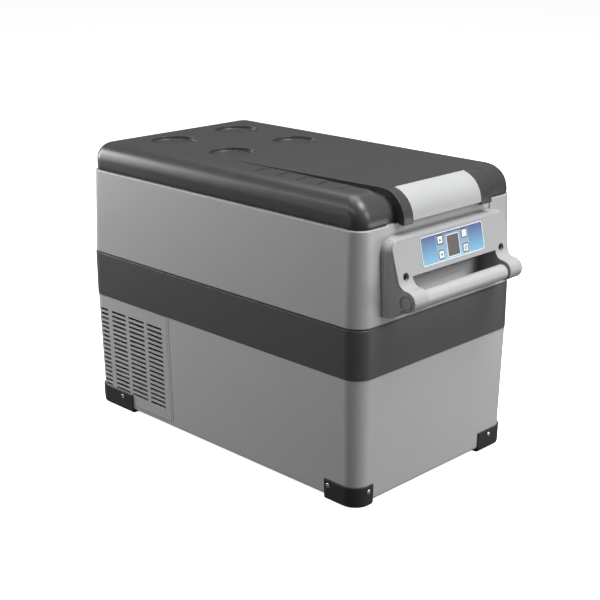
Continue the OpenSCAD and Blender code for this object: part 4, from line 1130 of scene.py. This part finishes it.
def rib_tools():
    """Shallow sloping steps on the lid's shoulder, each with a fine line along its outer edge."""
    tools = []
    high = LID_TOP + 6
    for x in RIB_X:
        ends = ((RIB_Y[0], RIB_SLANT), (RIB_Y[1] - (x - RIB_X[0]) * 0.02, 0))
        tools.append(solid("rib", [[(x - RIB_L + d, y, LID_TOP - RIB_DEPTH), (x + d, y, LID_TOP + 0.02),
                                    (x + d, y, high), (x - RIB_L + d, y, high)] for y, d in ends]))
        tools.append(along("line", LINE_PROFILE, (x + LINE_X[0], x + LINE_X[1])))
    return tools


def cup_tools():
    """Drink recesses with a rounded bottom edge and a fine lead-in at the top."""
    floor = LID_TOP - CUP_DEPTH
    profile = ((-2.6, floor), (-1.4, floor + 0.25), (-0.5, floor + 0.85), (0, floor + 1.9),
               (0, LID_TOP - 0.35), (0.35, LID_TOP), (0.4, LID_TOP + FAR))
    return [solid("cup", [at_z(circle((x, y), CUP_R + flare, 96), z) for flare, z in profile])
            for x in CUP_X for y in CUP_Y]


def lid_hollow():
    """Space under the lid's roof, less the material that carries the groove and the drink recesses."""
    levels = []
    for z, inset in HOLLOW_LEVELS:
        half = LID_HALF_W - LID_WALL - inset
        levels.append(at_z(outline((LID_X[0] + LID_WALL + inset, HOLLOW_FRONT - 1.6 * inset), (-half, half),
                                   max(LID_CORNER_R - LID_WALL - inset, 12), 8), z))
    kept = [prism("groove", outline((GROOVE[0][0] - 2, LID_X[1]), (-107, -78), 4, 4), (388, LID_TOP))]
    kept += [prism("cup", circle((x, y), CUP_R + 3, 48), (LID_TOP - CUP_DEPTH - 3, LID_TOP))
             for x in CUP_X for y in CUP_Y]
    return cut(solid("hollow", levels), *kept)


def make_lid():
    """Lid with its tongue, the latch's recess, the side groove and the drink recesses."""
    lid = combine(lid_block("lid_shell_skin"), "UNION", tongue_block())
    cut(lid, lid_hollow(), latch_well(), groove_tool())
    soften(lid, 0.8)
    for v in lid.data.vertices:  # the rounding overshoots where the tongue leaves the flat top
        v.co.z = min(v.co.z, LID_TOP * MM)
    cut(lid, *rib_tools(), *cup_tools())
    shade(lid)
    piece(lid, "lid", ["lid_shell"], "lid")


def make_latch():
    """Curved latch plate with its barrel around the pin, and the tooth behind it."""
    profile = (tongue_outline(0, 0, 78) + arc(LATCH_C, LATCH_BARREL, 88, 290, 24)
               + tongue_outline(LATCH_T, 68, 0))
    plate = across("latch_plate_skin", profile, (-LATCH_HALF, LATCH_HALF))
    combine(plate, "UNION", block("tooth", *TOOTH))
    soften(plate, 0.6)
    piece(plate, "latch", ["latch_plate"], "latch")


# ---------- CAD nodes that keep their shape

# Material of each node, and how far its edges are eased.
KEPT = {
    "top_rim": ("rim", 0.8), "inner_liner": ("liner", 1.2), "body_foam": ("foam", 0),
    "bay_wall": ("sheet", 0.3), "base_tray": ("sheet", 0.6), "compressor": ("enamel", 0.8),
    "compressor_grommets": ("grommet", 0),
    "condenser_tube": ("copper", 0), "condenser_wires": ("wire", 0), "fan_frame": ("fan", 0.5),
    "fan_rotor": ("fan", 0), "driver_heatsink": ("heatsink", 0.2), "driver_board": ("board", 0.2),
    "filter_drier": ("copper", 0), "refrigerant_lines": ("copper", 0), "evaporator_coil": ("copper", 0),
    "control_board": ("board", 0.2), "lid_inner": ("liner", 1.5), "lid_foam": ("foam", 0),
    "lid_gasket": ("gasket", 0.8), "lid_screws": ("steel", 0), "latch_pin": ("pin", 0),
    "latch_catch": ("hinge", 0.5), "hinge_body_leaves": ("hinge", 0.7), "hinge_lid_leaves": ("hinge", 0.7),
    "hinge_pins": ("pin", 0.3), "dc_inlet": ("socket", 0.5), "ac_inlet": ("socket", 0.5),
    "interior_light": ("lamp", 0.8), "wire_basket": ("basket", 0),
}


def paint_kept():
    """Materials and eased edges for the nodes that keep their CAD shape."""
    for node, (material, width) in KEPT.items():
        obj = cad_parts[node]
        obj.data.materials.clear()
        obj.data.materials.append(MAT[material])
        if width:
            add_bevel(obj, width, 3, SHARP_ANGLE).harden_normals = True


# ---------- studio

FLOOR_HALF = 12000      # half the width of the studio floor
# Name, place, target and size in metres, power in watts.
LIGHTS = (
    ("top_light", (-0.5, 0.5, 2.6), (0, 0, 0.3), (1.8, 1.8), 54),
    ("front_top_light", (0.9, 0.3, 2.0), (0.2, 0, 0.35), (0.8, 0.8), 50),
    ("side_strip_light", (-0.2, -1.25, 1.3), (-0.1, -0.1, 0.3), (2.0, 0.14), 10),
    ("end_light", (1.7, 0.5, 1.15), (0.27, 0, 0.2), (0.8, 0.5), 17),
    ("low_end_light", (1.25, 0.6, 0.12), (0.27, 0.02, 0.06), (0.7, 0.2), 5.5),
    ("low_side_light", (-0.5, -1.5, 0.35), (0, -0.16, 0.15), (0.9, 0.4), 2.5),
    ("rear_side_light", (-1.3, -0.6, 0.6), (-0.2, -0.16, 0.2), (0.3, 0.7), 20),
)


def area_light(name, location, target, size, power):
    """Rectangular light aimed at a point."""
    light = bpy.data.lights.new(name, "AREA")
    light.shape = "RECTANGLE"
    light.size, light.size_y = size
    light.energy = power
    obj = bpy.data.objects.new(name, light)
    scene.collection.objects.link(obj)
    obj.location = location
    aim(obj, target)


def make_floor():
    """Plain white floor that throws no light on the part."""
    bm = bmesh.new()
    bmesh.ops.create_grid(bm, x_segments=8, y_segments=8, size=FLOOR_HALF)
    floor = new_object("studio_floor", bm)
    n = Nodes("studio_white")
    white = n.tint((0.9, 0.9, 0.9), n.spread(n.noise(3, 3), 0.995, 1.005))
    floor.data.materials.append(n.surface(Base_Color=white, Roughness=0.9, Emission_Color=(1, 1, 1, 1),
                                          Emission_Strength=0.85))
    floor.visible_diffuse = False
    floor.visible_glossy = False


def make_world():
    """Faint even light from all sides."""
    world = bpy.data.worlds.new("studio")
    scene.world = world
    world.use_nodes = True
    background = world.node_tree.nodes["Background"]
    background.inputs["Color"].default_value = (1, 1, 1, 1)
    background.inputs["Strength"].default_value = 0.13


# ---------- build

make_lower_shell()
make_vent_panels()
make_band()
make_painted_shadow_strip()
make_upper_shell()
make_feet()
make_foot_screws()
make_handles()
make_overlay()
make_display()
make_keys()
make_lid()
make_latch()
paint_kept()
make_floor()
make_world()
for row in LIGHTS:
    area_light(*row)
